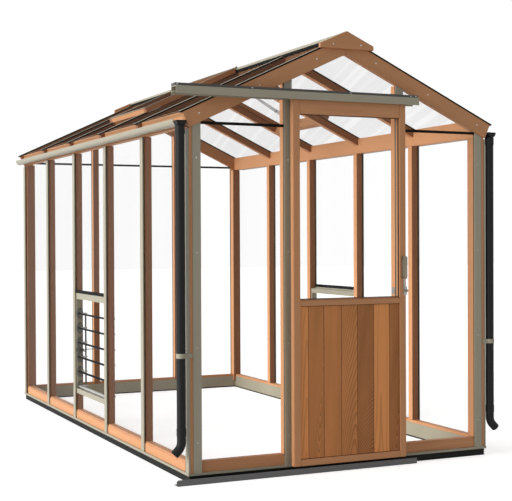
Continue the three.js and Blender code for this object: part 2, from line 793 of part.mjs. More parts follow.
function doorFrame() {
  const inner = doorHalf - door.stile;
  const slab = block(-doorHalf, doorHalf, -door.front, -door.back, door.bottom, doorTop);
  const through = overrun + door.front;
  const lower = block(
    -inner, inner, -through, through, door.bottom + door.bottomRail, door.lockRail,
  );
  const upper = block(-inner, inner, -through, through, door.lockRailTop, topRailFoot);
  const bite = door.groove + fit;
  const boardGroove = block(
    -inner - bite, inner + bite, -door.boardFace - fit, -door.boardFace + door.boardThickness + fit,
    door.bottom + door.bottomRail - bite, door.lockRail + bite,
  );
  const glassGroove = block(
    -inner - bite, inner + bite, -door.glassFace - fit, -door.glassFace + glass.thickness + fit,
    door.lockRailTop - bite, topRailFoot + bite,
  );
  const frame = cut(slab, [lower, upper, boardGroove, glassGroove]);
  const hangers = rollerCentres.flatMap((x) => [
    block(
      x - hanger.half, x + hanger.half, -hanger.front, -hanger.front + hanger.thickness,
      doorTop - hanger.sink, doorTop + hanger.rise,
    ),
    rodAlongY(roller.pin, x, rollerHeight, -hanger.front, -roller.back, 10),
  ]);
  const runners = [runner.inset - doorHalf, doorHalf - runner.inset].map((x) => block(
    x - runner.half, x + runner.half, -runner.front, runner.thickness - runner.front,
    runner.bottom, door.bottom + runner.lap,
  ));
  return join([frame, ...hangers, ...runners]);
}

function doorBoards() {
  const edge = doorHalf - door.stile + door.groove;
  const front = -door.boardFace;
  const back = front + door.boardThickness;
  const joints = [];
  let x = -edge;
  for (const share of boardShares.slice(0, -1)) {
    x += share * 2 * edge;
    joints.push(x);
  }
  const frontLine = joints.flatMap((joint) => [
    [joint - door.veeHalf, front], [joint, front + door.veeDepth], [joint + door.veeHalf, front],
  ]);
  const outline = [[-edge, front], ...frontLine, [edge, front], [edge, back], [-edge, back]];
  return alongZ(
    outline, door.bottom + door.bottomRail - door.groove, door.lockRail + door.groove,
  );
}

function doorGlass() {
  const edge = doorHalf - door.stile + door.groove;
  return block(
    -edge, edge, -door.glassFace, -door.glassFace + glass.thickness,
    door.lockRailTop - door.groove, topRailFoot + door.groove,
  );
}

function doorRoller(x) {
  const wheel = rodAlongY(roller.radius, x, rollerHeight, -roller.front, -roller.back, 24);
  const through = roller.front + overrun;
  return cut(wheel, [rodAlongY(roller.bore, x, rollerHeight, -through, 0, 12)]);
}

// Door furniture: a pull handle above a turning catch, both on the right stile.
const pull = { bottom: 1097, top: 1229, width: 18, plate: 4, bar: 8, reach: 34, leg: 10, ease: 9 };
const catchPlate = { left: 350, right: 373, bottom: 1000, top: 1053, thickness: 3, strap: 9 };
const turn = {
  radius: 10, thickness: 5, stem: 4, stemLength: 8, tongue: 14, tongueWidth: 8, centre: 364,
};
const furnitureX = doorHalf - door.stile * half;

function pullHandle() {
  const face = -door.front - fit;
  const plateFace = face - pull.plate;
  const side = pull.width * half;
  const outer = plateFace - pull.reach;
  const lockFace = face - catchPlate.thickness;
  return join([
    block(furnitureX - side, furnitureX + side, plateFace, face, pull.bottom, pull.top),
    alongX([
      [plateFace + fit, pull.bottom],
      [outer + pull.ease, pull.bottom],
      [outer, pull.bottom + pull.ease],
      [outer, pull.top - pull.ease],
      [outer + pull.ease, pull.top],
      [plateFace + fit, pull.top],
      [plateFace + fit, pull.top - pull.leg],
      [outer + pull.bar, pull.top - pull.leg],
      [outer + pull.bar, pull.bottom + pull.leg],
      [plateFace + fit, pull.bottom + pull.leg],
    ], furnitureX - side, furnitureX + side),
    block(
      catchPlate.left, catchPlate.right, lockFace, face, catchPlate.bottom, catchPlate.top,
    ),
    block(
      catchPlate.left, catchPlate.left + catchPlate.strap, lockFace, face,
      catchPlate.top - fit, pull.bottom + fit,
    ),
  ]);
}

const turnHeight = (catchPlate.bottom + catchPlate.top) * half;

function turnCatch() {
  const face = -door.front - fit - catchPlate.thickness - fit;
  const knobFace = face - turn.stemLength;
  return join([
    rodAlongY(turn.stem, turn.centre, turnHeight, knobFace - fit, face, 12),
    rodAlongY(turn.radius, turn.centre, turnHeight, knobFace - turn.thickness, knobFace, 20),
    block(
      turn.centre, turn.centre + turn.tongue, knobFace - turn.thickness, knobFace,
      turnHeight - turn.tongueWidth * half, turnHeight + turn.tongueWidth * half,
    ),
  ]);
}

place('door_frame', doorFrame(), cedar);
place('door_boards', doorBoards(), cedarBoard);
place('door_glass', doorGlass(), paneMaterial);
place('door_handle', pullHandle(), steel);
place('door_catch', turnCatch(), steel);
rollerCentres.forEach((x, k) => place(`door_roller_${k + 1}`, doorRoller(x), black));

// Roof vents: a cedar sash hinged on the ridge capping, its pane, and a two-arm opener.
function ventSash() {
  const plumb = (vent.height - vent.seat) * slopeTan;
  const lid = alongY([
    [vent.top, vent.height],
    [vent.bottom, vent.height],
    [vent.bottom, vent.seat],
    [vent.top + plumb, vent.seat],
  ], ventFront, ventBack);
  const light = block(
    vent.top + plumb + vent.rail, vent.bottom - vent.rail, ventFront + vent.rail,
    ventBack - vent.rail, -overrun, vent.height + overrun,
  );
  const hingeGroove = rodAlongY(
    vent.bead + fit, vent.top, vent.height, ventFront - overrun, ventBack + overrun, 16,
  );
  const side = opener.width * half;
  const front = ventMiddle + opener.lane;
  const back = front + opener.thickness;
  const lug = block(
    sashPivot.down - side, vent.bottom - vent.rail + side, front, back,
    vent.seat, vent.height - fit,
  );
  const ear = block(
    sashPivot.down - side, sashPivot.down + side, front, back,
    sashPivot.up - side, vent.seat + side,
  );
  const eye = rodAlongY(
    opener.pin + fit, sashPivot.down, sashPivot.up, front - overrun, back + overrun, 12,
  );
  return onRoof(join([cut(lid, [light, hingeGroove]), cut(join([lug, ear]), [eye])]));
}

function ventGlass() {
  const bottom = vent.height + fit;
  return onRoof(block(
    vent.top + vent.bead + 2 * fit, vent.bottom, ventFront, ventBack,
    bottom, bottom + glass.thickness,
  ));
}

// An arm runs from its pivot, up the slope, to the elbow that both arms share.
function openerBar(pivot, y0, y1) {
  const reach = opener.width * half;
  const start = new THREE.Vector2(pivot.down, pivot.up);
  const end = new THREE.Vector2(elbow.down, elbow.up);
  const along = start.clone().sub(end).normalize().multiplyScalar(reach);
  const across = new THREE.Vector2(-along.y, along.x);
  return alongY([
    [start.x + along.x + across.x, start.y + along.y + across.y],
    [end.x - along.x + across.x, end.y - along.y + across.y],
    [end.x - along.x - across.x, end.y - along.y - across.y],
    [start.x + along.x - across.x, start.y + along.y - across.y],
  ], y0, y1);
}

function frameArm() {
  const y0 = ventMiddle - opener.thickness;
  const eye = rodAlongY(
    opener.elbowPin + opener.elbowRoom, elbow.down, elbow.up, y0 - overrun, y0 + overrun, 12,
  );
  const bar = cut(openerBar(framePivot, y0, ventMiddle), [eye]);
  const pin = rodAlongY(
    opener.pin, framePivot.down, framePivot.up, y0 - opener.thickness, ventMiddle, 12,
  );
  const tube = new THREE.CylinderGeometry(opener.tube, opener.tube, opener.tubeLength, 16);
  tube.rotateZ(Math.PI * half);
  tube.translate(-opener.tubeStart - opener.tubeLength * half, 0, 0);
  tube.rotateY(Math.atan2(elbow.up - framePivot.up, framePivot.down - elbow.down));
  tube.translate(framePivot.down, y0 - opener.tube + opener.thickness * half, framePivot.up);
  return onRoof(join([bar, pin, tube]));
}

function sashArm() {
  const y0 = ventMiddle + opener.lane + opener.thickness + fit;
  const y1 = y0 + opener.thickness;
  const pinFront = ventMiddle + opener.lane;
  return onRoof(join([
    openerBar(sashPivot, y0, y1),
    rodAlongY(opener.pin, sashPivot.down, sashPivot.up, pinFront, y1, 12),
    rodAlongY(opener.elbowPin, elbow.down, elbow.up, ventMiddle - opener.thickness, y1, 10),
  ]));
}

const rightSash = ventSash();
place('vent_sash_right', rightSash, cedar);
place('vent_sash_left', mirrored(rightSash), cedar);
place('vent_glass_right', ventGlass(), paneMaterial);
place('vent_glass_left', mirrored(ventGlass()), paneMaterial);
const lowerArm = frameArm();
place('vent_opener_right', lowerArm, steel);
place('vent_opener_left', mirrored(lowerArm), steel);
const upperArm = sashArm();
place('vent_arm_right', upperArm, steel);
place('vent_arm_left', mirrored(upperArm), steel);

// Louvres: glass blades on pivots in a frame, joined by a link bar and moved by a lever.
const blade = {
  outer: 14, inner: 98, end: 4, holderHalf: 5, holderReach: 56, pin: 4, pinRoom: 0.5, pinEnd: 8,
};
const crank = { radius: 46, angle: THREE.MathUtils.degToRad(-20), half: 6, pin: 3, pinRoom: 0.4 };
const link = { front: 7.3, back: 4.3, half: 6, end: 10 };
const lever = { front: 3.3, back: 0.5, half: 3, length: 135, knob: 7, knobLength: 16 };
const pivotX = halfWidth - louvre.pivotDepth;
const pivotHeights = Array.from(
  { length: louvre.blades }, (_, k) => louvre.foot + louvre.firstPivot + k * louvre.spacing,
);
const leverHeight = pivotHeights[2] + louvre.spacing * half;
const channelFront = postCentres[middleBay] + post.width * half + fit;
const channelBack = postCentres[middleBay + 1] - post.width * half - fit;
const openingFront = channelFront + louvre.wall;
const openingBack = channelBack - louvre.wall;
const crankX = pivotX - crank.radius * Math.cos(crank.angle);
const crankDrop = crank.radius * Math.sin(crank.angle);

function louvreFrame() {
  const top = louvre.head - louvre.seal;
  const zLow = louvre.foot + louvre.bottomRail;
  const zHigh = top - louvre.topRail;
  const flange = block(
    halfWidth - glassBack, halfWidth - glassFace, louvreFront, louvreBack,
    louvre.foot, louvre.head,
  );
  const box = block(
    halfWidth - glassBack - louvre.depth, halfWidth - glassBack + fit, channelFront, channelBack,
    louvre.foot, top,
  );
  const opening = block(
    halfWidth - overrun * 2, halfWidth + overrun, openingFront, openingBack, zLow, zHigh,
  );
  const holes = [...pivotHeights, leverHeight].map((z) => rodAlongY(
    blade.pin + blade.pinRoom, pivotX, z, openingBack - overrun, openingBack + blade.pinEnd + fit, 10,
  ));
  const frontHoles = pivotHeights.map((z) => rodAlongY(
    blade.pin + blade.pinRoom, pivotX, z, openingFront - blade.pinEnd - fit, openingFront + overrun,
    10,
  ));
  return cut(join([flange, box]), [opening, ...holes, ...frontHoles]);
}

function crankPlate(z, y0, y1) {
  const reach = crank.half;
  const dx = Math.cos(crank.angle) * crank.radius;
  const dz = crankDrop;
  const nx = -Math.sin(crank.angle) * reach;
  const nz = Math.cos(crank.angle) * reach;
  const overX = Math.cos(crank.angle) * reach;
  const overZ = Math.sin(crank.angle) * reach;
  return alongY([
    [pivotX - nx + overX, z + nz - overZ],
    [pivotX - dx - nx - overX, z + dz + nz + overZ],
    [pivotX - dx + nx - overX, z + dz - nz + overZ],
    [pivotX + nx + overX, z - nz - overZ],
  ], y0, y1);
}

function louvreBlade(z) {
  const backPlate = openingBack - link.front - fit;
  const back = backPlate - blade.end;
  const front = openingFront + fit * half + blade.end;
  const pane = block(
    pivotX - blade.inner, pivotX + blade.outer, front - fit, back + fit,
    z - glass.thickness * half, z + glass.thickness * half,
  );
  const holder = (y0, y1) => block(
    pivotX - blade.holderReach, pivotX + blade.outer, y0, y1,
    z - blade.holderHalf, z + blade.holderHalf,
  );
  return join([
    pane,
    holder(front - blade.end + fit, front),
    holder(back, backPlate),
    crankPlate(z, back, backPlate),
    rodAlongY(blade.pin, pivotX, z, openingFront - blade.pinEnd, front, 10),
    rodAlongY(blade.pin, pivotX, z, back, openingBack + blade.pinEnd, 10),
    rodAlongY(crank.pin, crankX, z + crankDrop, back, openingBack - link.back + fit, 8),
  ]);
}

function linkBar() {
  const low = pivotHeights[0] + crankDrop - link.end;
  const high = pivotHeights[louvre.blades - 1] + crankDrop + link.end;
  const bar = block(
    crankX - link.half, crankX + link.half, openingBack - link.front, openingBack - link.back,
    low, high,
  );
  const eyes = [...pivotHeights, leverHeight].map((z) => rodAlongY(
    crank.pin + crank.pinRoom, crankX, z + crankDrop, openingBack - overrun, openingBack, 8,
  ));
  return cut(bar, eyes);
}

function louvreLever() {
  const z = leverHeight;
  const y0 = openingBack - lever.front;
  const y1 = openingBack - lever.back;
  const end = pivotX - lever.length;
  return join([
    block(end, pivotX + lever.half, y0, y1, z - lever.half, z + lever.half),
    block(end, end + lever.knobLength, y0, y1, z - lever.knob, z + lever.knob),
    crankPlate(z, y0, y1),
    rodAlongY(blade.pin, pivotX, z, y0, openingBack + blade.pinEnd, 10),
    rodAlongY(crank.pin, crankX, z + crankDrop, openingBack - link.front, y1, 8),
  ]);
}

function placeLouvre(side, turned) {
  place(`louvre_${side}_frame`, turned(louvreFrame()), sage);
  pivotHeights.forEach((z, k) => {
    place(`louvre_${side}_blade_${k + 1}`, turned(louvreBlade(z)), paneMaterial);
  });
  place(`louvre_${side}_link`, turned(linkBar()), steel);
  place(`louvre_${side}_lever`, turned(louvreLever()), steel);
}

placeLouvre('right', (geometry) => geometry);
placeLouvre('left', mirrored);

// The finished house stands on the ground, centred on its own footprint.
const extent = new THREE.Box3().setFromObject(greenhouse);
const middle = extent.getCenter(new THREE.Vector3());
greenhouse.position.set(-middle.x, -middle.y, -extent.min.z);

export default greenhouse;
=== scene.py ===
import math
import random

import bmesh
import bpy
from mathutils import Matrix, Vector


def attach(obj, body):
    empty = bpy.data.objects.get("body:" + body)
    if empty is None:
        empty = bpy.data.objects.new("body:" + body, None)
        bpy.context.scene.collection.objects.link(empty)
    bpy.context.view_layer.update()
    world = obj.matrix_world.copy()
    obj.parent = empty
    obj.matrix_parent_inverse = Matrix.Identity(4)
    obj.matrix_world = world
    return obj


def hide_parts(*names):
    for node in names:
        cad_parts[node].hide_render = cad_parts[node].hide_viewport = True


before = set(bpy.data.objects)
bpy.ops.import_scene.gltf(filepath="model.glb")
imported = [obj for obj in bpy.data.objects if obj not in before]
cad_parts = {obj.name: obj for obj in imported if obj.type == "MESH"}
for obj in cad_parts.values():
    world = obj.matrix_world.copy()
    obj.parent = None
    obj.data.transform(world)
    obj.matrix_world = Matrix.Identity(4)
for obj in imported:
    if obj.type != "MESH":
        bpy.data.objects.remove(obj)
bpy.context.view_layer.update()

# Camera. The house is seen from its front left, at a standing person's eye height,
# through a lens long enough to keep the far end of the ridge from shrinking much.
camera_place = (-3.2932, -7.78583, 1.3409)
camera_turn = (89.3707, 0.2489, -24.6389)
camera_data = bpy.data.cameras.new("viewpoint")
camera_data.sensor_width = 36.0
camera_data.lens = 82.21
camera_data.clip_end = 200.0
camera = bpy.data.objects.new("viewpoint", camera_data)
camera.location = camera_place
camera.rotation_euler = [math.radians(angle) for angle in camera_turn]
bpy.context.scene.collection.objects.link(camera)
bpy.context.scene.camera = camera
bpy.context.scene.view_settings.view_transform = "Standard"


# Floor and light. A seamless white floor keeps only a faint soft shadow under the house. A broad low
# lamp on the left lights that side and reaches in under the roof, and an even sky fills the rest.
class Flow:
    """A value in a material. Arithmetic on it adds Math nodes."""

    def __init__(self, socket):
        self.socket = socket

    def node(self, kind, settings=None, values=None, output=0):
        tree = self.socket.id_data
        made = tree.nodes.new(kind)
        for key, value in (settings or {}).items():
            setattr(made, key, value)
        for key, value in (values or {}).items():
            if isinstance(value, Flow):
                tree.links.new(value.socket, made.inputs[key])
            else:
                made.inputs[key].default_value = value
        return Flow(made.outputs[output])

    def math(self, operation, first, second=0.0):
        return self.node("ShaderNodeMath", {"operation": operation}, {0: first, 1: second})

    def __add__(self, other):
        return self.math("ADD", self, other)

    def __radd__(self, other):
        return self.math("ADD", other, self)

    def __sub__(self, other):
        return self.math("SUBTRACT", self, other)

    def __rsub__(self, other):
        return self.math("SUBTRACT", other, self)

    def __mul__(self, other):
        return self.math("MULTIPLY", self, other)

    def __rmul__(self, other):
        return self.math("MULTIPLY", other, self)

    def __truediv__(self, other):
        return self.math("DIVIDE", self, other)

    def __pow__(self, other):
        return self.math("POWER", self, other)

    def __abs__(self):
        return self.math("ABSOLUTE", self)

    def __gt__(self, other):
        return self.math("GREATER_THAN", self, other)

    def __lt__(self, other):
        return self.math("LESS_THAN", self, other)

    def parts(self):
        """Its three coordinates, each as a Flow."""
        split = self.node("ShaderNodeSeparateXYZ", values={0: self}).socket.node
        return [Flow(split.outputs[axis]) for axis in "XYZ"]

    def limited(self):
        return self.node("ShaderNodeClamp", values={"Value": self})

    def noise(self, stretch, detail=3.0, roughness=0.5):
        spread = self.node("ShaderNodeVectorMath", {"operation": "MULTIPLY"}, {0: self, 1: stretch})
        return spread.node(
            "ShaderNodeTexNoise",
            values={"Vector": spread, "Scale": 1.0, "Detail": detail, "Roughness": roughness},
        )

    def blend(self, first, second):
        return self.node(
            "ShaderNodeMix", {"data_type": "RGBA"}, {0: self, 6: first, 7: second}, output=2
        )

    def bump(self, strength, distance):
        return self.node(
            "ShaderNodeBump", values={"Height": self, "Strength": strength, "Distance": distance}
        )


def new_finish(name, **constants):
    """A material, its shader with the constants set, and the place on the surface as a Flow."""
    material = bpy.data.materials.new(name)
    material.use_nodes = True
    shader = material.node_tree.nodes["Principled BSDF"]
    for key, value in constants.items():
        shader.inputs[key.replace("_", " ").title().replace("Ior", "IOR")].default_value = value
    place = Flow(material.node_tree.nodes.new("ShaderNodeTexCoord").outputs["Object"])
    return material, shader, place


def feed(shader, **links):
    """Leads what changes over the surface into the shader."""
    for key, flow in links.items():
        target = shader.inputs[key.replace("_", " ").title()]
        target.id_data.links.new(flow.socket, target)


def seen_rays(flow):
    """1 on rays that show a surface straight, mirrored or through glass, and 0 on those that light."""
    straight, mirrored, through = (
        flow.node("ShaderNodeLightPath", output=f"Is {kind} Ray")
        for kind in ("Camera", "Glossy", "Transmission")
    )
    return (straight + mirrored + through).limited()


floor_half = 40.0
floor_glow = (0.67, 0.67, 0.67, 1.0)
floor_finish, floor_shader, floor_place = new_finish(
    "white_floor", base_color=(0.86, 0.86, 0.86, 1.0), roughness=0.95, emission_strength=1.0
)
feed(floor_shader, emission_color=seen_rays(floor_place).blend((0.0, 0.0, 0.0, 1.0), floor_glow))
floor_corners = [
    (x * floor_half, y * floor_half, 0.0) for x, y in ((-1, -1), (1, -1), (1, 1), (-1, 1))
]
floor_mesh = bpy.data.meshes.new("floor")
floor_mesh.from_pydata(floor_corners, [], [(0, 1, 2, 3)])
floor = bpy.data.objects.new("floor", floor_mesh)
bpy.context.scene.collection.objects.link(floor)
floor.data.materials.append(floor_finish)

sky_level = 0.25
backdrop_level = 1.02
world = bpy.data.worlds.new("studio")
bpy.context.scene.world = world
world.use_nodes = True
background = world.node_tree.nodes["Background"]
background.inputs["Color"].default_value = (1.0, 1.0, 1.0, 1.0)
background.inputs["Strength"].default_value = sky_level
sky = Flow(background.outputs[0])
backdrop = sky.node(
    "ShaderNodeBackground", values={"Color": (1.0, 1.0, 1.0, 1.0), "Strength": backdrop_level}
)
studio = sky.node("ShaderNodeMixShader", values={0: seen_rays(sky), 1: sky, 2: backdrop})
world.node_tree.links.new(studio.socket, world.node_tree.nodes["World Output"].inputs["Surface"])

lamp_direction = (-0.97, 0.0, 0.24)
lamp_data = bpy.data.lights.new("left_lamp", "SUN")
lamp_data.energy = 2.9
lamp_data.angle = math.radians(40.0)
lamp = bpy.data.objects.new("left_lamp", lamp_data)
lamp.rotation_euler = Vector(lamp_direction).to_track_quat("Z", "Y").to_euler()
bpy.context.scene.collection.objects.link(lamp)


# Gable frames. Cedar corner posts, door posts and sills are planed square, eased along their edges
# and butted together with hidden screws. The front frame also has a head over the doorway.
def band(shape, lower, upper):
    """Closes the gap between two rings of corners with four-sided faces."""
    count = len(lower)
    for number in range(count):
        following = (number + 1) % count
        shape.faces.new((lower[number], lower[following], upper[following], upper[number]))


def prism(outline, axis, start, end, edge, cuts=()):
    """A straight bar: an outline drawn across one axis, cut off by planes, with eased edges."""
    bar = bmesh.new()
    rings = []
    for reach in (start, end):
        ring = []
        for first, second in outline:
            spot = [first, second]
            spot.insert(axis, reach)
            ring.append(bar.verts.new(spot))
        rings.append(ring)
        bar.faces.new(ring)
    band(bar, *rings)
    for point, normal in cuts:
        whole = bar.verts[:] + bar.edges[:] + bar.faces[:]
        bmesh.ops.bisect_plane(bar, geom=whole, plane_co=point, plane_no=normal, clear_outer=True)
        bmesh.ops.holes_fill(bar, edges=[rim for rim in bar.edges if rim.is_boundary])
    bmesh.ops.recalc_face_normals(bar, faces=bar.faces)
    if edge:
        sharp = [rim for rim in bar.edges if rim.calc_face_angle(0.0) > 0.2]
        bmesh.ops.bevel(
            bar, geom=sharp, offset=edge, segments=2, affect="EDGES", clamp_overlap=True
        )
    return bar


def box(low_first, high_first, low_second, high_second):
    """The outline of a rectangle."""
    return [
        (low_first, low_second), (high_first, low_second), (high_first, high_second),
        (low_first, high_second),
    ]


def span(origin, direction, first, last):
    """Two places on an axis, at two distances from an origin in one direction."""
    return origin + direction * first, origin + direction * last


timber_draw = random.Random(7)
# Tone of the faces painted paler as painted light.
painted_light_tone = 0.10


def timber(
    outline, axis, start, end, along, cuts=(), edge=0.0016, tone=None, lean=0.0, pith=None,
    painted_light_side=None,
):
    """A cedar bar that remembers how its grain runs, how far it leans and how dark it is drawn, which on some
    bars is painted shade. One side of it can be painted paler, as painted light where a lamp or the floor's
    bounce falls on it."""
    bar = prism(outline, axis, start, end, edge, cuts)
    along = Vector(along).normalized()
    across = along.orthogonal().normalized() if abs(along.y) < 0.5 else Vector((1.0, 0.0, 0.0))
    through = along.cross(across)
    middle = sum((corner.co for corner in bar.verts), Vector()) / len(bar.verts)
    heart = pith or (
        timber_draw.uniform(0.02, 0.12) * timber_draw.choice((-1, 1)),
        timber_draw.uniform(0.03, 0.14) * timber_draw.choice((-1, 1)),
    )
    shift = Vector((timber_draw.uniform(0.0, 30.0), *heart))
    depth = tone if tone is not None else timber_draw.uniform(0.26, 0.50)
    outermost = max(corner.co @ Vector(painted_light_side) for corner in bar.verts) if painted_light_side else 0.0
    grain = bar.verts.layers.float_vector.new("grain")
    shade = bar.verts.layers.float.new("tone")
    for corner in bar.verts:
        offset = corner.co - middle
        run = offset @ along
        corner[grain] = shift + Vector((run, offset @ across, offset @ through + lean * run))
        pale = painted_light_side and corner.co @ Vector(painted_light_side) > outermost - 0.0003
        corner[shade] = painted_light_tone if pale else depth
    return bar


def piece(name, bars, material, body, slot, *replaced, smooth=None):
    """Puts the bars together as one object that rides on a body."""
    whole = bmesh.new()
    for bar in bars:
        part = bpy.data.meshes.new("part")
        bar.to_mesh(part)
        bar.free()
        whole.from_mesh(part)
        bpy.data.meshes.remove(part)
    mesh = bpy.data.meshes.new(name)
    whole.to_mesh(mesh)
    whole.free()
    made = bpy.data.objects.new(name, mesh)
    bpy.context.scene.collection.objects.link(made)
    mesh.materials.append(material)
    if smooth is not None:
        mesh.shade_smooth()
        mesh.set_sharp_from_angle(angle=math.radians(smooth))
    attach(made, body)
    if replaced:
        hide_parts(*replaced)
    return made


def new_cedar(name, pale, dark, sway, ring_depth, mottle):
    """Oiled cedar: growth rings cut lengthwise, fine pores, and a slow change along the board."""
    ring_gap = 0.0052
    material, shader, place = new_finish(name, specular_ior_level=0.35)
    grain = place.node("ShaderNodeAttribute", {"attribute_name": "grain"}, output="Vector")
    tone = place.node("ShaderNodeAttribute", {"attribute_name": "tone"}, output="Fac")
    across, through = grain.parts()[1:]
    radius = (across * across + through * through) ** 0.5
    radius = radius + (grain.noise((0.7, 9.0, 9.0), 2.0) - 0.5) * sway
    ring = radius.math("FRACT", radius / ring_gap) ** 3.0
    swell = radius.math("SINE", radius * 38.0)
    pores = grain.noise((14.0, 1400.0, 1400.0), 2.0, 0.6)
    patch = grain.noise((1.3, 16.0, 16.0), 2.0)
    depth = tone + ring * ring_depth + swell * 0.03 + (pores - 0.5) * 0.22 + (patch - 0.5) * mottle
    feed(
        shader,
        base_color=depth.limited().blend(pale, dark),
        roughness=0.52 + ring * 0.08 + (pores - 0.5) * 0.2,
        normal=(ring * 0.4 + pores).bump(0.15, 0.0004),
    )
    return material


cedar = new_cedar(
    "oiled_cedar", (0.90, 0.443, 0.208, 1.0), (0.33, 0.138, 0.060, 1.0), 0.014, 0.10, 0.22
)
half_width = 0.9791
front = -1.84785
house_length = 3.770
back = front + house_length
gables = (("front", front, 1), ("rear", back, -1))
slope = math.radians(25.0)
slope_sin, slope_cos, slope_tan = math.sin(slope), math.cos(slope), math.tan(slope)
ridge_height = 2.495
eaves_height = 1.950
rafter_underside = 0.0993
gable_post = 0.3677
post_half = 0.025
post_depth = (0.0141, 0.0591)
post_foot, corner_foot = 0.0503, 0.0543
above_rafters = 2.4
door_head = (2.112, 2.172)
sill_gap = 0.0002
small_gap = 0.0003


def under_rafters(drop):
    """The two planes of the underside of the gable rafters."""
    apex_point = (0.0, 0.0, ridge_height - rafter_underside - drop)
    return [(apex_point, (side * slope_sin, 0.0, slope_cos)) for side in (1, -1)]


sill_profile = [
    (0.0098, 0.050), (0.0591, 0.050), (0.0591, 0.114), (0.0141, 0.114), (0.0141, 0.104),
    (0.0098, 0.104),
]
corner_profile = [
    (0.010, 0.002), (0.0286, 0.002), (0.0286, 0.0098), (0.0611, 0.0098), (0.0611, 0.0141),
    (0.0781, 0.0141), (0.0781, 0.0781), (0.0141, 0.0781), (0.0141, 0.0297), (0.010, 0.0297),
]
corner_tongue = [(0.010, 0.002), (0.0781, 0.0098), (0.0781, 0.0247), (0.010, 0.0247)]
inside_post, outside_post = gable_post - post_half, gable_post + post_half
corner_inner = half_width - 0.0783
for name, face, inward in gables:
    rear = name == "rear"
    # The rear frame's posts are painted darker as painted shade, since they stand in the shade inside the
    # house. The left-hand faces of the door posts, and of the rear corner posts, are painted paler as painted
    # light from the lamp on the left.
    rear_painted_shade_tone = 0.98 if rear else None
    upright = ((0, 0, 1), under_rafters(small_gap))
    rear_painted_light_side = (-1, 0, 0) if rear else None
    sill = [(face + inward * depth, height) for depth, height in sill_profile]
    bars = []
    for side in (1, -1):
        corner, tongue = (
            [(side * (half_width - along), face + inward * depth) for along, depth in profile]
            for profile in (corner_profile, corner_tongue)
        )
        bars.append(timber(
            corner, 2, corner_foot, eaves_height - small_gap, *upright, tone=rear_painted_shade_tone,
            painted_light_side=rear_painted_light_side,
        ))
        bars.append(timber(tongue, 2, eaves_height, above_rafters, *upright))
        post = box(
            *span(side * gable_post, side, -post_half, post_half), *span(face, inward, *post_depth)
        )
        bars.append(timber(
            post, 2, post_foot, above_rafters, *upright, tone=rear_painted_shade_tone, painted_light_side=(-1, 0, 0)
        ))
        sill_run = (side * (outside_post + sill_gap), side * corner_inner)
        bars.append(timber(sill, 0, *sill_run, (1, 0, 0)))
    head = box(*span(face, inward, *post_depth), *door_head)
    middle_run = (sill_gap - inside_post, inside_post - sill_gap)
    bars.append(timber(sill if rear else head, 0, *middle_run, (1, 0, 0)))
    piece(f"{name}_gable_timbers", bars, cedar, "house", "cedar", f"gable_frame_{name}")


# Side frames. Each long wall has one long cedar sill, with four square posts standing on it. The
# glass between them comes in standard widths, so the posts are evenly spaced.
sides = ((1, "right"), (-1, "left"))
bay = 0.745
sill_run = (front + 0.0784, back - 0.0784)
sill_top = 0.1142
first_post = front + 0.0225
post_centres = [first_post + bay * number for number in range(6)]
for side, name in sides:
    sill = [(side * (half_width - depth), height) for depth, height in sill_profile]
    bars = [timber(sill, 1, *sill_run, (0, 1, 0), tone=0.20)]
    # The posts are painted darker as painted shade, since they stand inside the house, and their left-hand
    # faces are painted paler as painted light from the lamp.
    for centre in post_centres[1:-1]:
        post = box(
            *span(side * half_width, -side, *post_depth), centre - post_half, centre + post_half
        )
        bars.append(timber(
            post, 2, sill_top, eaves_height - small_gap, (0, 0, 1), tone=0.92, painted_light_side=(-1, 0, 0)
        ))
    piece(f"{name}_side_timbers", bars, cedar, "house", "cedar", f"side_frame_{name}")


# Roof frames. The rafters are housed over the eaves beams, their feet stand out above the gutter,
# and they meet the ridge beam. A trimmer below each vent is fixed between two rafters.
def rafter_top(across):
    return ridge_height - abs(across) * slope_tan


def mirrored(outline, side):
    """An outline drawn for the right-hand side, on the side asked for."""
    return [(side * across, height) for across, height in outline]


def roof_point(down, up):
    """A place on the right-hand slope, down from the ridge and up from the rafters."""
    return down * slope_cos + up * slope_sin, ridge_height - down * slope_sin + up * slope_cos


def roof_outline(down_start, down_end, up_start, up_end, side):
    corners = box(down_start, down_end, up_start, up_end)
    return mirrored([roof_point(*corner) for corner in corners], side)


beam_inner = half_width - 0.045
beam_run = (front + 0.0253, back - 0.0253)
rafter_start, rafter_foot, in_beam = 0.0178, half_width + 0.025, half_width - 0.035
rafter_deep, beam_gap = 0.0515, 0.0004
rafter_half = 0.0225
trimmer_down, trimmer_deep = (0.7036, 0.7436), 0.045
beam = [
    (half_width, eaves_height), (half_width, rafter_top(half_width) - beam_gap),
    (beam_inner, rafter_top(beam_inner) - beam_gap), (beam_inner, eaves_height),
]
rafter = [
    (rafter_start, rafter_top(rafter_start)), (rafter_foot, rafter_top(rafter_foot)),
    (rafter_foot, 1.996), (half_width - 0.010, 1.996), (in_beam, rafter_top(in_beam) - rafter_deep),
    (rafter_start, rafter_top(rafter_start) - rafter_deep),
]
for side, name in sides:
    bars = [timber(mirrored(beam, side), 1, *beam_run, (0, 1, 0), tone=0.18)]
    # The rafters are painted dark as painted shade, and their undersides are painted paler as painted bounce
    # light from the floor.
    for centre in post_centres[1:-1]:
        bars.append(timber(
            mirrored(rafter, side), 1, centre - rafter_half, centre + rafter_half,
            (side * slope_cos, 0.0, -slope_sin), tone=1.0,
            painted_light_side=(-side * slope_sin, 0.0, -slope_cos),
        ))
    trimmer = roof_outline(*trimmer_down, -trimmer_deep, 0.0, side)
    trimmer_run = (post_centres[2] + rafter_half + 0.0001, post_centres[3] - rafter_half - 0.0001)
    bars.append(timber(trimmer, 1, *trimmer_run, (0, 1, 0)))
    piece(f"{name}_roof_timbers", bars, cedar, "house", "cedar", f"roof_frame_{name}")

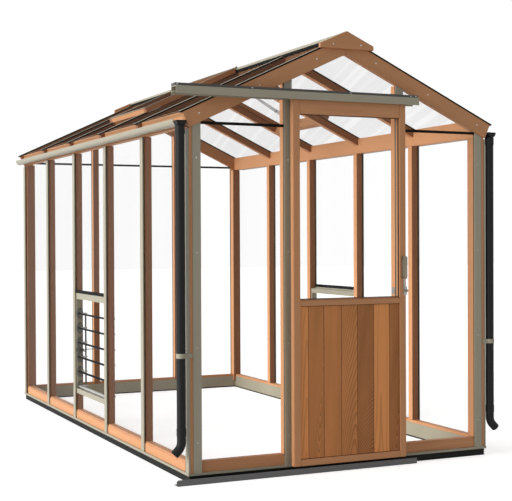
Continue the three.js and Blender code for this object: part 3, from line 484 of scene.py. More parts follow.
ridge_half, ridge_deep = 0.0175, 0.09
ridge_top = rafter_top(ridge_half) - small_gap
ridge = timber(
    box(-ridge_half, ridge_half, ridge_top - ridge_deep, ridge_top), 1, *beam_run, (0, 1, 0), tone=0.7
)
piece("ridge_timber", [ridge], cedar, "house", "cedar", "ridge_beam")

# Gable rafters. A wide pair of cedar rafters runs past each gable, square-cut at the feet, with a
# pointed apex board screwed over the joint at the top.
apex_board = [(0.0, 2.528), (0.175, 2.450), (0.175, 2.425), (-0.175, 2.425), (-0.175, 2.450)]
rafter_end = half_width + 0.029
foot_cut = 0.090
gable_rafter = [
    (0.0001, ridge_height), (rafter_end, rafter_top(rafter_end)),
    (rafter_end - foot_cut * slope_sin, rafter_top(rafter_end) - foot_cut * slope_cos),
    (0.0001, ridge_height - rafter_underside),
]
rafter_face, rafter_inside = 0.010, 0.025
board_faces = {"front": 0.030, "rear": 0.0282}
for name, face, inward in gables:
    bars = []
    # The rear pair is painted darker than the front pair as painted shade, since it is seen in the shade
    # inside the house.
    for side in (1, -1):
        bars.append(timber(
            mirrored(gable_rafter, side), 1, *span(face, inward, -rafter_face, rafter_inside),
            (side * slope_cos, 0.0, -slope_sin), tone=0.62 if name == "rear" else 0.46,
        ))
    apex_run = span(face, inward, -board_faces[name], -rafter_face - 0.0001)
    bars.append(timber(apex_board, 1, *apex_run, (1, 0, 0), tone=0.46))
    piece(f"{name}_gable_rafters", bars, cedar, "house", "cedar", f"gable_rafters_{name}")


# Glass. Clear horticultural sheets lie between the timber and the cappings. The end walls show almost
# nothing, and the side walls show a faint haze where they are seen at a slant, which is a painted reflection.
# The roof sheets have a light grey veil with fainter streaks of painted reflection across them, and a dark
# painted reflection where they are seen nearly edge-on.
def new_glass(name, veil, streak_reflection, shade, sheen, dark_reflection=0.0, shine=0.4):
    """Glass that a film half hides: the veil all over, with painted reflections: streaks across it, a sheen
    at a slant and a dark reflection edge-on.
    """
    material, shader, place = new_finish(name, specular_ior_level=shine)
    cloud = place.noise((0.9, 1.3, 0.9), 2.0)
    across, along, _ = place.parts()
    # Diagonal bands of painted reflection, which clear and lighten the veil.
    reflection_band = (abs(across) * 1.06 - along * 0.28).noise((9.0, 9.0, 9.0), 1.0)
    reflection_lines = ((reflection_band - 0.50) * 8.0).limited()
    # Painted reflection that grows where the glass is seen at a slant, and a dark painted reflection where it
    # is seen edge-on.
    facing = place.node("ShaderNodeLayerWeight", values={"Blend": 0.5}, output="Facing")
    slanting = ((facing - 0.45) * 3.0).limited()
    edge_on = ((facing - 0.87) * 14.0).limited()
    with_reflections = reflection_lines.blend(shade, [level * 1.3 for level in shade[:3]] + [1.0])
    haze = veil * (1.0 - reflection_lines * streak_reflection) + (cloud - 0.5) * veil + slanting * sheen
    feed(
        shader,
        base_color=edge_on.blend(with_reflections, (0.035, 0.03, 0.025, 1.0)),
        alpha=(haze + edge_on * dark_reflection).limited(),
        roughness=0.05 + cloud * 0.06,
    )
    return material


def paint(node_name, material):
    """Gives a solid of the CAD its material."""
    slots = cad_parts[node_name].data.materials
    slots.clear()
    slots.append(material)


wall_glass = new_glass("wall_glass", 0.004, 0.4, (0.55, 0.57, 0.57, 1.0), 0.010)
side_glass = new_glass("side_glass", 0.006, 0.4, (0.14, 0.14, 0.135, 1.0), 0.055)
roof_glass = new_glass(
    "roof_glass", 0.112, 0.38, (0.25, 0.265, 0.27, 1.0), 0.0, dark_reflection=0.24, shine=0.0
)
for name in ("glass_front", "glass_rear"):
    paint(name, wall_glass)
for name in ("glass_left", "glass_right"):
    paint(name, side_glass)
for name in ("glass_roof_left", "glass_roof_right", "vent_glass_left", "vent_glass_right"):
    paint(name, roof_glass)


# Cappings. Powder-coated aluminium channels clip over every post and hold the glass against a dark
# seal, with a small screw every half metre and a trim strip along their feet.
def new_coat(name, colour, dust, roughness=0.42, shine=0.5):
    """A fine-grained coat of paint or plastic with dust settled on it in soft patches."""
    material, shader, place = new_finish(name, specular_ior_level=shine)
    cloud = place.noise((3.0, 3.0, 2.0), 3.0)
    speck = place.noise((260.0, 260.0, 260.0), 2.0)
    feed(
        shader,
        base_color=((cloud - 0.35) * 0.9).limited().blend(colour, dust),
        roughness=roughness + (cloud - 0.5) * 0.18,
        normal=speck.bump(0.12, 0.0004),
    )
    return material


sage = new_coat("sage_powder_coat", (0.42, 0.385, 0.285, 1.0), (0.52, 0.48, 0.36, 1.0))
seal = new_coat("dark_seal", (0.005, 0.005, 0.005, 1.0), (0.011, 0.011, 0.011, 1.0), 0.7, 0.1)


def metal_finish(name, colour, roughness):
    """Dull bare metal, brushed one way and a little darker in patches."""
    material, shader, place = new_finish(name, metallic=1.0, base_color=colour)
    brushed = place.noise((30.0, 30.0, 600.0), 2.0)
    cloud = place.noise((14.0, 14.0, 14.0), 3.0)
    feed(
        shader,
        base_color=cloud.blend(colour, [shade * 0.72 for shade in colour[:3]] + [1.0]),
        roughness=roughness + (brushed - 0.5) * 0.2 + (cloud - 0.5) * 0.15,
        normal=brushed.bump(0.1, 0.0003),
    )
    return material


steel = metal_finish("zinc_steel", (0.62, 0.62, 0.61, 1.0), 0.38)
capping_foot = 0.050
capping_edge = 0.0008
channel_depth = 0.0095
channel_wall = 0.002
seal_half = 0.0014
seal_depth = (0.0072, 0.0097)
seal_foot = 0.106
trim_height = (0.040, 0.054)
screw_heights = (0.22, 0.74, 1.26, 1.78)


def channel(first, last, place):
    """The section of a capping between two edges, as points through a placing function."""
    return [place(along, depth) for along, depth in (
        (first, 0.0), (last, 0.0), (last, channel_depth), (last - channel_wall, channel_depth),
        (last - channel_wall, channel_wall), (first + channel_wall, channel_wall),
        (first + channel_wall, channel_depth), (first, channel_depth),
    )]


def arc(centre_x, centre_z, radius, start, sweep, steps):
    """Points along a round stretch, from a starting angle through a sweep."""
    angles = [start + sweep * step / steps for step in range(steps + 1)]
    return [
        (centre_x + radius * math.cos(angle), centre_z + radius * math.sin(angle))
        for angle in angles
    ]


def disc(centre_x, centre_z, radius, steps=12):
    return arc(centre_x, centre_z, radius, 0.0, math.tau, steps)[:-1]


def screw_head(centre, outward, radius=0.0042, height=0.0016):
    """A pan head with a round recess, standing on a face."""
    head = bmesh.new()
    rings = []
    for reach, level in ((1.0, 0.0), (1.0, 0.35), (0.8, 0.8), (0.45, 1.0), (0.225, 0.45)):
        circle = disc(0.0, 0.0, radius * reach)
        rings.append([head.verts.new((x, y, height * level)) for x, y in circle])
    for lower, upper in zip(rings, rings[1:]):
        band(head, lower, upper)
    head.faces.new(rings[-1])
    head.faces.new(rings[0][::-1])
    turn = Vector(outward).to_track_quat("Z", "Y").to_matrix().to_4x4()
    head.transform(Matrix.Translation(centre) @ turn)
    return head


def fit_cappings(name, bars, seals):
    """One wall's cappings and the dark seals below them."""
    piece(f"{name}_cappings", bars, sage, "house", "sage_aluminium", f"capping_{name}")
    piece(f"{name}_seals", seals, seal, "house", "black_plastic")


corner_capping = 0.9252
trim_end = half_width - 0.0098
beside_corner = corner_capping - post_half
glass_joint = (1.964, 1.980)
over_door_height = (2.1295, 2.1545)
over_louvre_height = (0.9513, 0.974)
seal_out = 0.0005
screws = []
for name, face, inward in gables:
    bars = []
    seals = []
    for side in (1, -1):
        for centre in (side * corner_capping, side * gable_post):
            outline = channel(
                centre - post_half, centre + post_half, lambda x, depth: (x, face + inward * depth)
            )
            rafter_cuts = under_rafters(small_gap)
            bars.append(prism(outline, 2, capping_foot, above_rafters, capping_edge, rafter_cuts))
            for edge_x in (centre - post_half - seal_out, centre + post_half + seal_out):
                strip = box(edge_x - seal_half, edge_x + seal_half, *span(face, inward, *seal_depth))
                seals.append(prism(strip, 2, seal_foot, above_rafters, 0.0, under_rafters(2 * small_gap)))
            for height in screw_heights:
                screws.append(screw_head((centre, face, height), (0.0, -inward, 0.0)))
    trim = box(*span(face, inward, -0.003, 0.0057), *trim_height)
    bars.append(prism(trim, 0, -trim_end, trim_end, capping_edge))
    joint = box(*span(face, inward, 0.003, channel_depth), *glass_joint)
    joint_runs = [(-beside_corner, -outside_post), (outside_post, beside_corner)]
    if name == "rear":
        joint_runs.append((-inside_post, inside_post))
    else:
        over_door = box(*span(face, inward, 0.002, channel_depth), *over_door_height)
        bars.append(prism(over_door, 0, -inside_post, inside_post, capping_edge))
    for start, end in joint_runs:
        seals.append(prism(joint, 0, start, end, 0.001))
    fit_cappings(name, bars, seals)

side_capping_top = 1.9388
louvre_joint = (post_centres[2] + 0.0253, post_centres[3] - 0.0253)
for side, name in sides:
    bars = []
    seals = []
    wall = side * half_width
    for number, centre in enumerate(post_centres):
        first = front if number == 0 else centre - post_half
        last = back if number == 5 else centre + post_half
        outline = channel(first, last, lambda y, depth: (wall - side * depth, y))
        top = eaves_height - small_gap if 0 < number < 5 else side_capping_top
        bars.append(prism(outline, 2, capping_foot, top, capping_edge))
        edges = [last + seal_out] * (number < 5) + [first - seal_out] * (number > 0)
        for edge_y in edges:
            strip = box(*span(wall, -side, *seal_depth), edge_y - seal_half, edge_y + seal_half)
            seals.append(prism(strip, 2, seal_foot, top - 0.001, 0.0))
        for height in screw_heights:
            screws.append(screw_head((wall, centre, height), (side, 0.0, 0.0)))
    trim = box(*span(wall, side, -channel_depth, 0.003), *trim_height)
    bars.append(prism(trim, 1, front - 0.003, back + 0.003, capping_edge))
    over_louvre = box(*span(wall, -side, 0.003, channel_depth), *over_louvre_height)
    seals.append(prism(over_louvre, 1, *louvre_joint, 0.001))
    fit_cappings(name, bars, seals)


# Roof cappings. Flat bars on deep black seals run down every rafter to a black edge strip at the eaves. The
# seals fill the whole gap under each bar, so their black also stands in as painted shade there. A pitched
# ridge capping covers their tops, with a short skirt over a black strip that is partly its seal and partly
# painted shade below it. Two beads below its edges carry the vents.
bar_start, start_below_vent, bar_end = 0.029, 0.7539, 1.1223
bar_half, end_bar_half = 0.020, 0.0167
bar_low, bar_high, bar_edge = 0.0088, 0.0106, 0.001
roof_bars = [front + 0.0075, *post_centres[1:-1], back - 0.0075]
roof_run = (front - 0.0092, back + 0.0092)
bead_run = (post_centres[2] - post_half, post_centres[3] + post_half)
bead_x, bead_z = roof_point(0.023, 0.036)
bars = []
seals = []
for side in (1, -1):
    for number, centre in enumerate(roof_bars):
        start = start_below_vent if number in (2, 3) else bar_start
        half = end_bar_half if number in (0, 5) else bar_half
        bar = roof_outline(start, bar_end, bar_low, bar_high, side)
        bars.append(prism(bar, 1, centre - half + bar_edge, centre + half - bar_edge, 0.0005))
        # The black bed under each bar: the seal, and painted shade in the gap below the bar.
        seal_and_shade_bed = roof_outline(start, bar_end, 0.0002, bar_low, side)
        seals.append(prism(seal_and_shade_bed, 1, centre - half, centre + half, 0.0005))
    edge = roof_outline(bar_end - 0.014, bar_end, 0.0046, 0.0072, side)
    seals.append(prism(edge, 1, *roof_run, 0.0004))
    bars.append(prism(disc(side * bead_x, bead_z, 0.004, 14), 1, *bead_run, 0.0))
    web = mirrored(box(0.0305, bead_x - 0.0005, 2.5091, 2.5166), side)
    bars.append(prism(web, 1, *bead_run, 0.0004))
    nub = disc(side * bead_x, bead_z, 0.009, 10)
    bars.append(prism(nub, 1, bead_run[0] - 0.0122, bead_run[0] - 0.0002, 0.001))
cap_outer, cap_inner = 0.032, 0.029
cap_top, cap_under = 2.529, 2.5257
ridge_seat = ridge_height + 0.0046 / slope_cos - cap_inner * slope_tan
skirt_top, skirt_deep = cap_top - cap_outer * slope_tan, 0.012
skirt_foot = skirt_top - skirt_deep
cap_side = [
    (cap_outer, skirt_top), (cap_outer, skirt_foot), (cap_inner, skirt_foot),
    (cap_inner, cap_under - cap_inner * slope_tan),
]
ridge_cap = [(0.0, cap_top), *cap_side, (0.0, cap_under), *mirrored(cap_side, -1)[::-1]]
bars.append(prism(ridge_cap, 1, *roof_run, capping_edge))
for side in (1, -1):
    # A black strip under each skirt: the seal, and painted shade beneath the capping.
    ridge_seal_and_shade = mirrored(box(0.0288, 0.0312, ridge_seat, skirt_foot), side)
    seals.append(prism(ridge_seal_and_shade, 1, front - 0.0090, back + 0.0090, 0.0))
fit_cappings("roof", bars, seals)

# Base. A dark ribbed kerb of recycled plastic lies under the walls. A sage aluminium liner covers it on the
# inside and stands up behind the sills. The liner stops a centimetre short of the floor, and the black left
# showing there is a painted contact shadow. A paler grey band along the kerb's top lip is a painted
# highlight.
liner_inset, shadow_line_height = 0.060, 0.010
lip_highlight_foot, upstand_foot = 0.0382, 0.0499
kerb, kerb_shader, kerb_place = new_finish("dark_kerb", specular_ior_level=0.2)
kerb_x, kerb_y, kerb_z = kerb_place.parts()
upstand = kerb_z > upstand_foot
# The paler grey band on the kerb's top lip is a painted highlight.
lip = (kerb_z > lip_highlight_foot) * (1.0 - upstand)
between_sides = abs(kerb_x) < half_width - liner_inset
between_ends = abs(kerb_y - (front + back) / 2) < house_length / 2 - liner_inset
# The lowest centimetre inside stays black as a painted contact shadow.
liner = between_sides * between_ends * (kerb_z > shadow_line_height)
kerb_cloud = kerb_place.noise((6.0, 6.0, 6.0), 3.0)
kerb_black = kerb_cloud.blend((0.008, 0.009, 0.008, 1.0), (0.02, 0.022, 0.020, 1.0))
kerb_black_and_lip_highlight = lip.blend(kerb_black, (0.13, 0.135, 0.125, 1.0))
kerb_sage = kerb_cloud.blend((0.42, 0.385, 0.285, 1.0), (0.52, 0.48, 0.36, 1.0))
feed(
    kerb_shader,
    base_color=(upstand + liner).limited().blend(kerb_black_and_lip_highlight, kerb_sage),
    roughness=0.6 + kerb_cloud * 0.2,
    normal=kerb_place.noise((300.0, 300.0, 300.0), 2.0).bump(0.15, 0.0005),
)
paint("base_plinth", kerb)


# Gutters. Half-round aluminium troughs with a rolled outer lip run along both eaves. A strap at each
# post carries them, and a plate closes the rear end.
def half_round(radius, lip, centre_x, centre_z):
    """A half disc, open side up, whose edges stand up by a lip."""
    curve = arc(centre_x, centre_z, radius, math.pi, math.pi, 20)
    return [(centre_x - radius, centre_z + lip), *curve, (centre_x + radius, centre_z + lip)]


def trough(radius, wall, lip, centre_x, centre_z):
    inside = half_round(radius - wall, lip, centre_x, centre_z)
    return half_round(radius, lip, centre_x, centre_z) + inside[::-1]


gutter_run = (front + 0.0393, back - 0.0253)
gutter_x, gutter_z = half_width + 0.037, 1.983
gutter_radius, gutter_wall, gutter_lip = 0.031, 0.002, 0.006
lip_radius, lip_out, lip_height = 0.0024, 0.0285, 1.9865
strap_half, strap_foot, strap_top = 0.011, 1.967, 1.989
strap = [
    (half_width + small_gap, strap_foot), (half_width + small_gap, strap_top), (gutter_x + 0.0295, strap_top),
    (gutter_x + 0.0295, lip_height), (half_width + 0.0035, lip_height),
    (half_width + 0.0035, strap_foot),
]
for side, name in sides:
    centre = side * gutter_x
    section = trough(gutter_radius, gutter_wall, gutter_lip, centre, gutter_z)
    rolled = disc(centre + side * lip_out, lip_height, lip_radius)
    end_plate = half_round(gutter_radius, gutter_lip, centre, gutter_z)
    bars = [
        prism(section, 1, *gutter_run, 0.0), prism(rolled, 1, *gutter_run, 0.0),
        prism(end_plate, 1, gutter_run[1] - gutter_wall, gutter_run[1], 0.0),
    ]
    for post_y in post_centres[1:-1]:
        bars.append(prism(mirrored(strap, side), 1, post_y - strap_half, post_y + strap_half, 0.0005))
    piece(f"{name}_gutter", bars, sage, "house", "sage_aluminium", f"gutter_{name}", smooth=35)


# Downpipes. Black plastic pipes drop from an outlet at the gutters' front ends to an angled shoe,
# and one pressed clip screws each to the corner.
def swept(centres, radius, steps=24, wall=0.0):
    """A round tube along points that lie in one plane across Y. A wall leaves it open-ended."""
    tube = bmesh.new()
    y_axis = Vector((0.0, 1.0, 0.0))
    ends = []
    for skin in [radius] + ([radius - wall] if wall else []):
        rings = []
        for number, spot in enumerate(centres):
            before = Vector(centres[max(number - 1, 0)])
            after = Vector(centres[min(number + 1, len(centres) - 1)])
            across = (after - before).normalized().cross(y_axis).normalized()
            rings.append([
                tube.verts.new(Vector(spot) + across * out + y_axis * along)
                for out, along in disc(0.0, 0.0, skin, steps)
            ])
        for lower, upper in zip(rings, rings[1:]):
            band(tube, lower, upper)
        ends.append((rings[0], rings[-1]))
    for end in (0, 1):
        if wall:
            band(tube, ends[0][end], ends[1][end])
        else:
            tube.faces.new(ends[0][end])
    bmesh.ops.recalc_face_normals(tube, faces=tube.faces)
    return tube


pipe_black = new_coat("black_pipe", (0.009, 0.009, 0.010, 1.0), (0.017, 0.017, 0.019, 1.0), 0.55, 0.2)
pipe_x, pipe_y = half_width + 0.038, front + 0.010
pipe_radius, pipe_wall = 0.025, 0.002
bend_top, bend_radius, shoe_length = 0.230, 0.066, 0.030
outlet_radius, outlet_lip, outlet_z, outlet_front = 0.028, 0.003, 1.977, front - 0.018
collar_heights = (0.262, 0.264, 0.300, 0.302)
upper_collar_heights = (1.905, 1.907, 1.950)
clamp_heights = (0.686, 0.688, 0.710, 0.712)
tab_y = front - 0.0033
bend = arc(pipe_x + bend_radius, bend_top, bend_radius, math.pi, math.radians(45.0), 6)
shoe_reach = shoe_length * math.sqrt(0.5)
shoe_end = (bend[-1][0] + shoe_reach, bend[-1][1] - shoe_reach)
pipe_line = [(pipe_x, 1.9515), (pipe_x, 0.9), *bend, shoe_end]
for side, name in sides:
    route = [(x, pipe_y, height) for x, height in mirrored(pipe_line, side)]
    collar, upper_collar, clamp = (
        [(side * pipe_x, pipe_y, height) for height in heights]
        for heights in (collar_heights, upper_collar_heights, clamp_heights)
    )
    outlet = trough(outlet_radius, pipe_wall, outlet_lip, side * pipe_x, outlet_z)
    stop_end = half_round(outlet_radius, outlet_lip, side * pipe_x, outlet_z)
    bars = [
        swept(route, pipe_radius, wall=pipe_wall), swept(collar, 0.0268),
        swept(upper_collar, 0.0272), prism(outlet, 1, outlet_front, front + 0.039, 0.0),
        prism(stop_end, 1, outlet_front, outlet_front + pipe_wall, 0.0),
    ]
    piece(
        f"{name}_downpipe", bars, pipe_black, "house", "black_plastic", f"downpipe_{name}", smooth=35
    )
    tab = box(side * (half_width - 0.024), side * pipe_x, tab_y, front - small_gap)
    clip = [
        swept(clamp, 0.028), prism(tab, 2, clamp_heights[0], clamp_heights[-1], 0.0005),
        screw_head((side * (half_width - 0.012), tab_y, 0.699), (0.0, -1.0, 0.0)),
    ]
    piece(f"{name}_pipe_clip", clip, sage, "house", "sage_aluminium", smooth=35)

# Door tracks. A hooded aluminium rail is screwed through its dark back flange to the gable, and a
# grey slotted track on the ground guides the foot of the door. Both run past the wall on the left.
rail_run = (-1.074, 0.451)
hood_section = [
    (0.085, 2.115), (0.085, 2.158), (0.0103, 2.158), (0.0103, 2.115), (0.0143, 2.115),
    (0.0143, 2.129), (0.042, 2.129), (0.042, 2.136), (0.039, 2.136), (0.039, 2.132),
    (0.0143, 2.132), (0.0143, 2.154), (0.081, 2.154), (0.081, 2.115),
]
hood = prism([(front - depth, height) for depth, height in hood_section], 0, *rail_run, 0.0006)
piece("door_rail_hood", [hood], sage, "house", "sage_aluminium", "door_track_top")
flange_dark = new_coat("grey_flange", (0.055, 0.052, 0.045, 1.0), (0.085, 0.08, 0.07, 1.0))
flange_face = front - 0.070
flange = prism(box(flange_face, front - 0.0103, 2.1578, 2.174), 0, *rail_run, 0.0008)
piece("door_rail_flange", [flange], flange_dark, "house", "sage_aluminium")
rail_screws = [
    screw_head((x, flange_face, 2.166), (0.0, -1.0, 0.0), 0.004, 0.002)
    for x in (-1.062, -0.62, 0.0, 0.403, 0.437)
]
piece("rail_screws", rail_screws, steel, "house", "steel", smooth=40)
ground_coat = new_coat("grey_track", (0.15, 0.15, 0.152, 1.0), (0.20, 0.20, 0.202, 1.0), 0.5)
paint("door_track_bottom", ground_coat)
rafter_screws = (
    (-0.912, 2.022), (-0.546, 2.192), (-0.187, 2.359), (0.202, 2.356), (0.560, 2.189), (0.912, 2.022)
)
for name, face, inward in gables:
    outward = (0.0, -inward, 0.0)
    for x, height in rafter_screws:
        screws.append(screw_head((x, face - inward * rafter_face, height), outward))
    for x in (-0.090, 0.090):
        screws.append(screw_head((x, face - inward * board_faces[name], 2.450), outward))
piece("capping_screws", screws, steel, "house", "steel", smooth=40)

# Door. Two stiles and three rails of cedar frame seven upright boards below and one pane above, and
# steel hangers carry it on rollers inside the track.
door_front = front - 0.066
door_back = front - 0.028
stile = 0.042
pane_edge = gable_post - stile
stile_run = (0.0505, 2.122)
rail_heights = ((0.0505, 0.088), (0.953, 0.990), (2.036, 2.1215))
door_bars = []
for side in (1, -1):
    outline = box(side * gable_post, side * pane_edge, door_front, door_back)
    door_bars.append(timber(outline, 2, *stile_run, (0, 0, 1), edge=0.0022, tone=0.40))
for low, high in rail_heights:
    outline = box(door_front, door_back, low, high)
    door_bars.append(timber(
        outline, 0, -pane_edge, pane_edge, (1, 0, 0), edge=0.0022, tone=0.40
    ))
# The ledge over the middle rail is coloured dark as painted shade along the rail's top.
ledge = [
    (door_front - 0.004, 0.986), (door_front + 0.012, 0.986), (door_front + 0.012, 0.9925),
    (door_front - 0.004, 0.990),
]
door_bars.append(timber(ledge, 0, -pane_edge, pane_edge, (1, 0, 0), tone=0.95))
piece("door_timbers", door_bars, cedar, "door", "cedar", "door_frame")

# Black beads hold the pane. The second, thinner set runs round the board panel as thin black lines of painted
# shade, in the gap between the boards and the frame.
beads_and_shadow_gaps = []
for depths, width, foot, top, levels, thick in (
    ((0.010, 0.016), 0.004, 0.991, 2.035, (0.9925, 2.032), 0.003),
    ((0.0062, 0.0085), 0.002, 0.088, 0.953, (0.088, 0.951), 0.002),
):
    bead_depth = span(door_front, 1, *depths)
    for side in (1, -1):
        upright_bead = box(side * pane_edge, side * (pane_edge - width), *bead_depth)
        beads_and_shadow_gaps.append(prism(upright_bead, 2, foot, top, 0.0))
    for height in levels:
        level_bead = box(*bead_depth, height, height + thick)
        beads_and_shadow_gaps.append(prism(level_bead, 0, -pane_edge, pane_edge, 0.0))
piece("door_beads_and_shadow_gaps", beads_and_shadow_gaps, seal, "door", "black_plastic")

hangers = []
roller_height, roller_in, axle_radius = 2.142, 0.110, 0.003
plate_half, hanger_face, axle_end = 0.020, front - 0.050, front - 0.026
for centre in (-gable_post + roller_in, gable_post - roller_in):
    plate = box(centre - plate_half, centre + plate_half, hanger_face, hanger_face + 0.004)
    hangers.append(prism(plate, 2, 2.112, 2.150, 0.0006))
    axle = disc(centre, roller_height, axle_radius)
    hangers.append(prism(axle, 1, hanger_face, axle_end, 0.0003))
piece("door_hangers", hangers, steel, "door", "steel")
runners = []
runner_in, runner_face = 0.060, front - 0.043
for centre in (-gable_post + runner_in, gable_post - runner_in):
    blade = box(centre - plate_half, centre + plate_half, runner_face, runner_face + 0.005)
    runners.append(prism(blade, 2, 0.012, 0.058, 0.0008))
piece("door_runners", runners, seal, "door", "black_plastic")
wheel_black = new_coat("roller_black", (0.016, 0.016, 0.017, 1.0), (0.05, 0.05, 0.05, 1.0), 0.35)
for name in ("door_roller_1", "door_roller_2"):
    paint(name, wheel_black)

board_cedar = new_cedar(
    "board_cedar", (0.94, 0.375, 0.120, 1.0), (0.20, 0.070, 0.015, 1.0), 0.030, 0.42, 0.44
)
# Each board's share of the width, its tone, how far its grain leans, and where its pith lies.
board_looks = (
    (0.089, -0.14, 0.02, (0.03, 0.05)), (0.149, 0.33, 0.10, (-0.025, 0.03)),
    (0.172, 0.28, 0.01, (-0.09, 0.06)), (0.158, 0.32, 0.10, (0.04, 0.10)),
    (0.163, 0.58, 0.26, (0.10, 0.30)), (0.159, -0.02, 0.01, (0.10, 0.12)),
    (0.110, 0.56, 0.12, (-0.02, 0.04)),
)
board_tongue = 0.006
boards_width = 2 * (pane_edge + board_tongue)
board_left = -pane_edge - board_tongue
board_front, board_back = front - 0.058, front - 0.046
vee, joint_half, board_gap = 0.0018, 0.0014, 0.0001
board_run, joint_run = (0.082, 0.959), (0.0885, 0.9525)
boards = []
joints = []
for share, tone, lean, pith in board_looks:
    board_right = board_left + share * boards_width
    left_edge, right_edge = board_left + board_gap, board_right - board_gap
    outline = [
        (left_edge, board_front + vee), (board_left + vee, board_front),
        (board_right - vee, board_front), (right_edge, board_front + vee),
        (right_edge, board_back), (left_edge, board_back),
    ]
    boards.append(timber(
        outline, 2, *board_run, (0, 0, 1), edge=0.0004, tone=tone, lean=lean, pith=pith
    ))
    if board_right < pane_edge:
        joint = box(
            board_right - joint_half, board_right + joint_half,
            board_front + 0.0006, board_front + 0.0020,
        )
        joints.append(prism(joint, 2, *joint_run, 0.0))
    board_left = board_right
piece("door_board_joints", joints, seal, "door", "black_plastic")
piece("door_board_panel", boards, board_cedar, "door", "cedar_boards", "door_boards")
paint("door_glass", wall_glass)

# Door furniture. A wide flat bow handle stands over a small lock plate at the door's edge, whose
# ring turns the catch. All of it is dull plated metal, screwed to the right-hand stile.
dull = metal_finish("dull_plate", (0.27, 0.23, 0.17, 1.0), 0.42)
lock_metal = metal_finish("lock_plate", (0.42, 0.42, 0.38, 1.0), 0.45)
handle_x = gable_post - stile / 2
handle_middle, handle_half = 1.163, 0.066
plate_y, plate_thick = door_front - small_gap, 0.004
reach = plate_y - 0.038
bow_foot = plate_y - 0.0037
bow_upper = [
    (reach, 0.057), (reach + 0.003, 0.063), (reach + 0.009, handle_half), (bow_foot, handle_half),
    (bow_foot, 0.056), (reach + 0.0115, 0.056), (reach + 0.008, 0.0525),
]
bow = [(y, handle_middle + rise) for y, rise in bow_upper]
bow += [(y, handle_middle - rise) for y, rise in bow_upper[::-1]]
back_plate = box(handle_x - 0.009, handle_x + 0.009, plate_y - plate_thick, plate_y)
fittings = [
    prism(back_plate, 2, handle_middle - handle_half, handle_middle + handle_half, 0.0012),
    prism(bow, 0, handle_x - 0.0088, handle_x + 0.0088, 0.0014),
]


def small_screw(x, y, height, outward=(0.0, -1.0, 0.0)):
    return screw_head((x, y, height), outward, 0.003, 0.001)


fittings += [small_screw(handle_x, plate_y - plate_thick, height) for height in (1.112, 1.214)]
piece("door_pull", fittings, dull, "door", "steel", "door_handle", smooth=35)
lock_face = plate_y - 0.003
lock_plate = box(0.350, 0.373, lock_face, plate_y)
strap = box(0.350, 0.359, plate_y - 0.0028, plate_y)
lock = [prism(lock_plate, 2, 1.000, 1.053, 0.001), prism(strap, 2, 1.0535, 1.0965, 0.0006)]
lock += [small_screw(0.357, lock_face, height) for height in (1.006, 1.047)]
piece("door_lock_plate", lock, lock_metal, "door", "steel", smooth=35)
keeper_face, keeper_depth = inside_post - 0.0015, (front + 0.019, front + 0.053)
keeper = box(keeper_face, inside_post, *keeper_depth)
keepers = [prism(keeper, 2, 1.003, 1.043, 0.0005)]
keepers += [
    small_screw(keeper_face, sum(keeper_depth) / 2, height, (-1.0, 0.0, 0.0))
    for height in (1.010, 1.036)
]
piece("lock_keeper", keepers, lock_metal, "house", "steel", smooth=35)

catch_x, catch_z = 0.364, 1.0265
catch_y = plate_y - 0.0033
catch = [prism(disc(catch_x, catch_z, 0.004), 1, catch_y, catch_y - 0.009, 0.0004)]
tongue = [
    (catch_x, catch_z - 0.004), (catch_x + 0.0125, catch_z - 0.0035), (catch_x + 0.014, catch_z),
    (catch_x + 0.0125, catch_z + 0.0035), (catch_x, catch_z + 0.004),
]
catch.append(prism(tongue, 1, catch_y - 0.0083, catch_y - 0.0110, 0.0006))
turn_ring = bmesh.new()
ring_y, ring_radius, ring_thick = catch_y - 0.0105, 0.0078, 0.0022
ring_loops = []
for turn_x, turn_z in disc(0.0, 0.0, 1.0, 20):
    loop = []
    for out, deep in disc(ring_radius, ring_y, ring_thick, 8):
        loop.append(turn_ring.verts.new((catch_x + turn_x * out, deep, catch_z + turn_z * out)))
    ring_loops.append(loop)
for loop, following_loop in zip(ring_loops, ring_loops[1:] + ring_loops[:1]):
    band(turn_ring, loop, following_loop)
bmesh.ops.recalc_face_normals(turn_ring, faces=turn_ring.faces)
catch.append(turn_ring)
piece("door_turn_ring", catch, dull, "door_catch", "steel", "door_catch", smooth=35)

# Roof vents. Each is a four-piece cedar sash with a light strip on three edges of its pane, hung on
# the bead at the ridge. A two-armed steel opener below it folds at an elbow, with a tube along its
# lower arm.
vent_front, vent_back = bead_run
vent_middle = (vent_front + vent_back) / 2
vent_top, vent_bottom, vent_low, vent_high, vent_rail = 0.023, 0.7536, 0.0046, 0.036, 0.045
plumb = (vent_high - vent_low) * slope_tan
groove = 0.0045
pane_top = vent_high + 0.0043
strip_width, strip_edge = 0.016, 0.0004
opener_radius = 0.668
eye = 0.009
lug_y, upper_back = vent_middle + 0.002, vent_middle + 0.0083
arm_thick = 0.003
between_stiles = (vent_front + vent_rail, vent_back - vent_rail)


def about_hinge(radius, degrees):
    """How far down and up the slope a place is, at a radius and angle below the vent's hinge."""
    angle = math.radians(degrees)
    return vent_top + radius * math.cos(angle), vent_high - radius * math.sin(angle)


def arm(start, end, first_y, last_y, side, width=0.009):
    """A flat steel arm with round ends between two pivots."""
    along = Vector(end) - Vector(start)
    heading = math.atan2(along.y, along.x)
    outline = []
    for centre, base in ((end, heading - math.pi / 2), (start, heading + math.pi / 2)):
        outline += [roof_point(*spot) for spot in arc(*centre, width, base, math.pi, 8)]
    return prism(mirrored(outline, side), 1, first_y, last_y, 0.0005)


def pin(centre, first_y, last_y, radius, side):
    across, height = roof_point(*centre)
    return prism(disc(side * across, height, radius), 1, first_y, last_y, 0.0003)


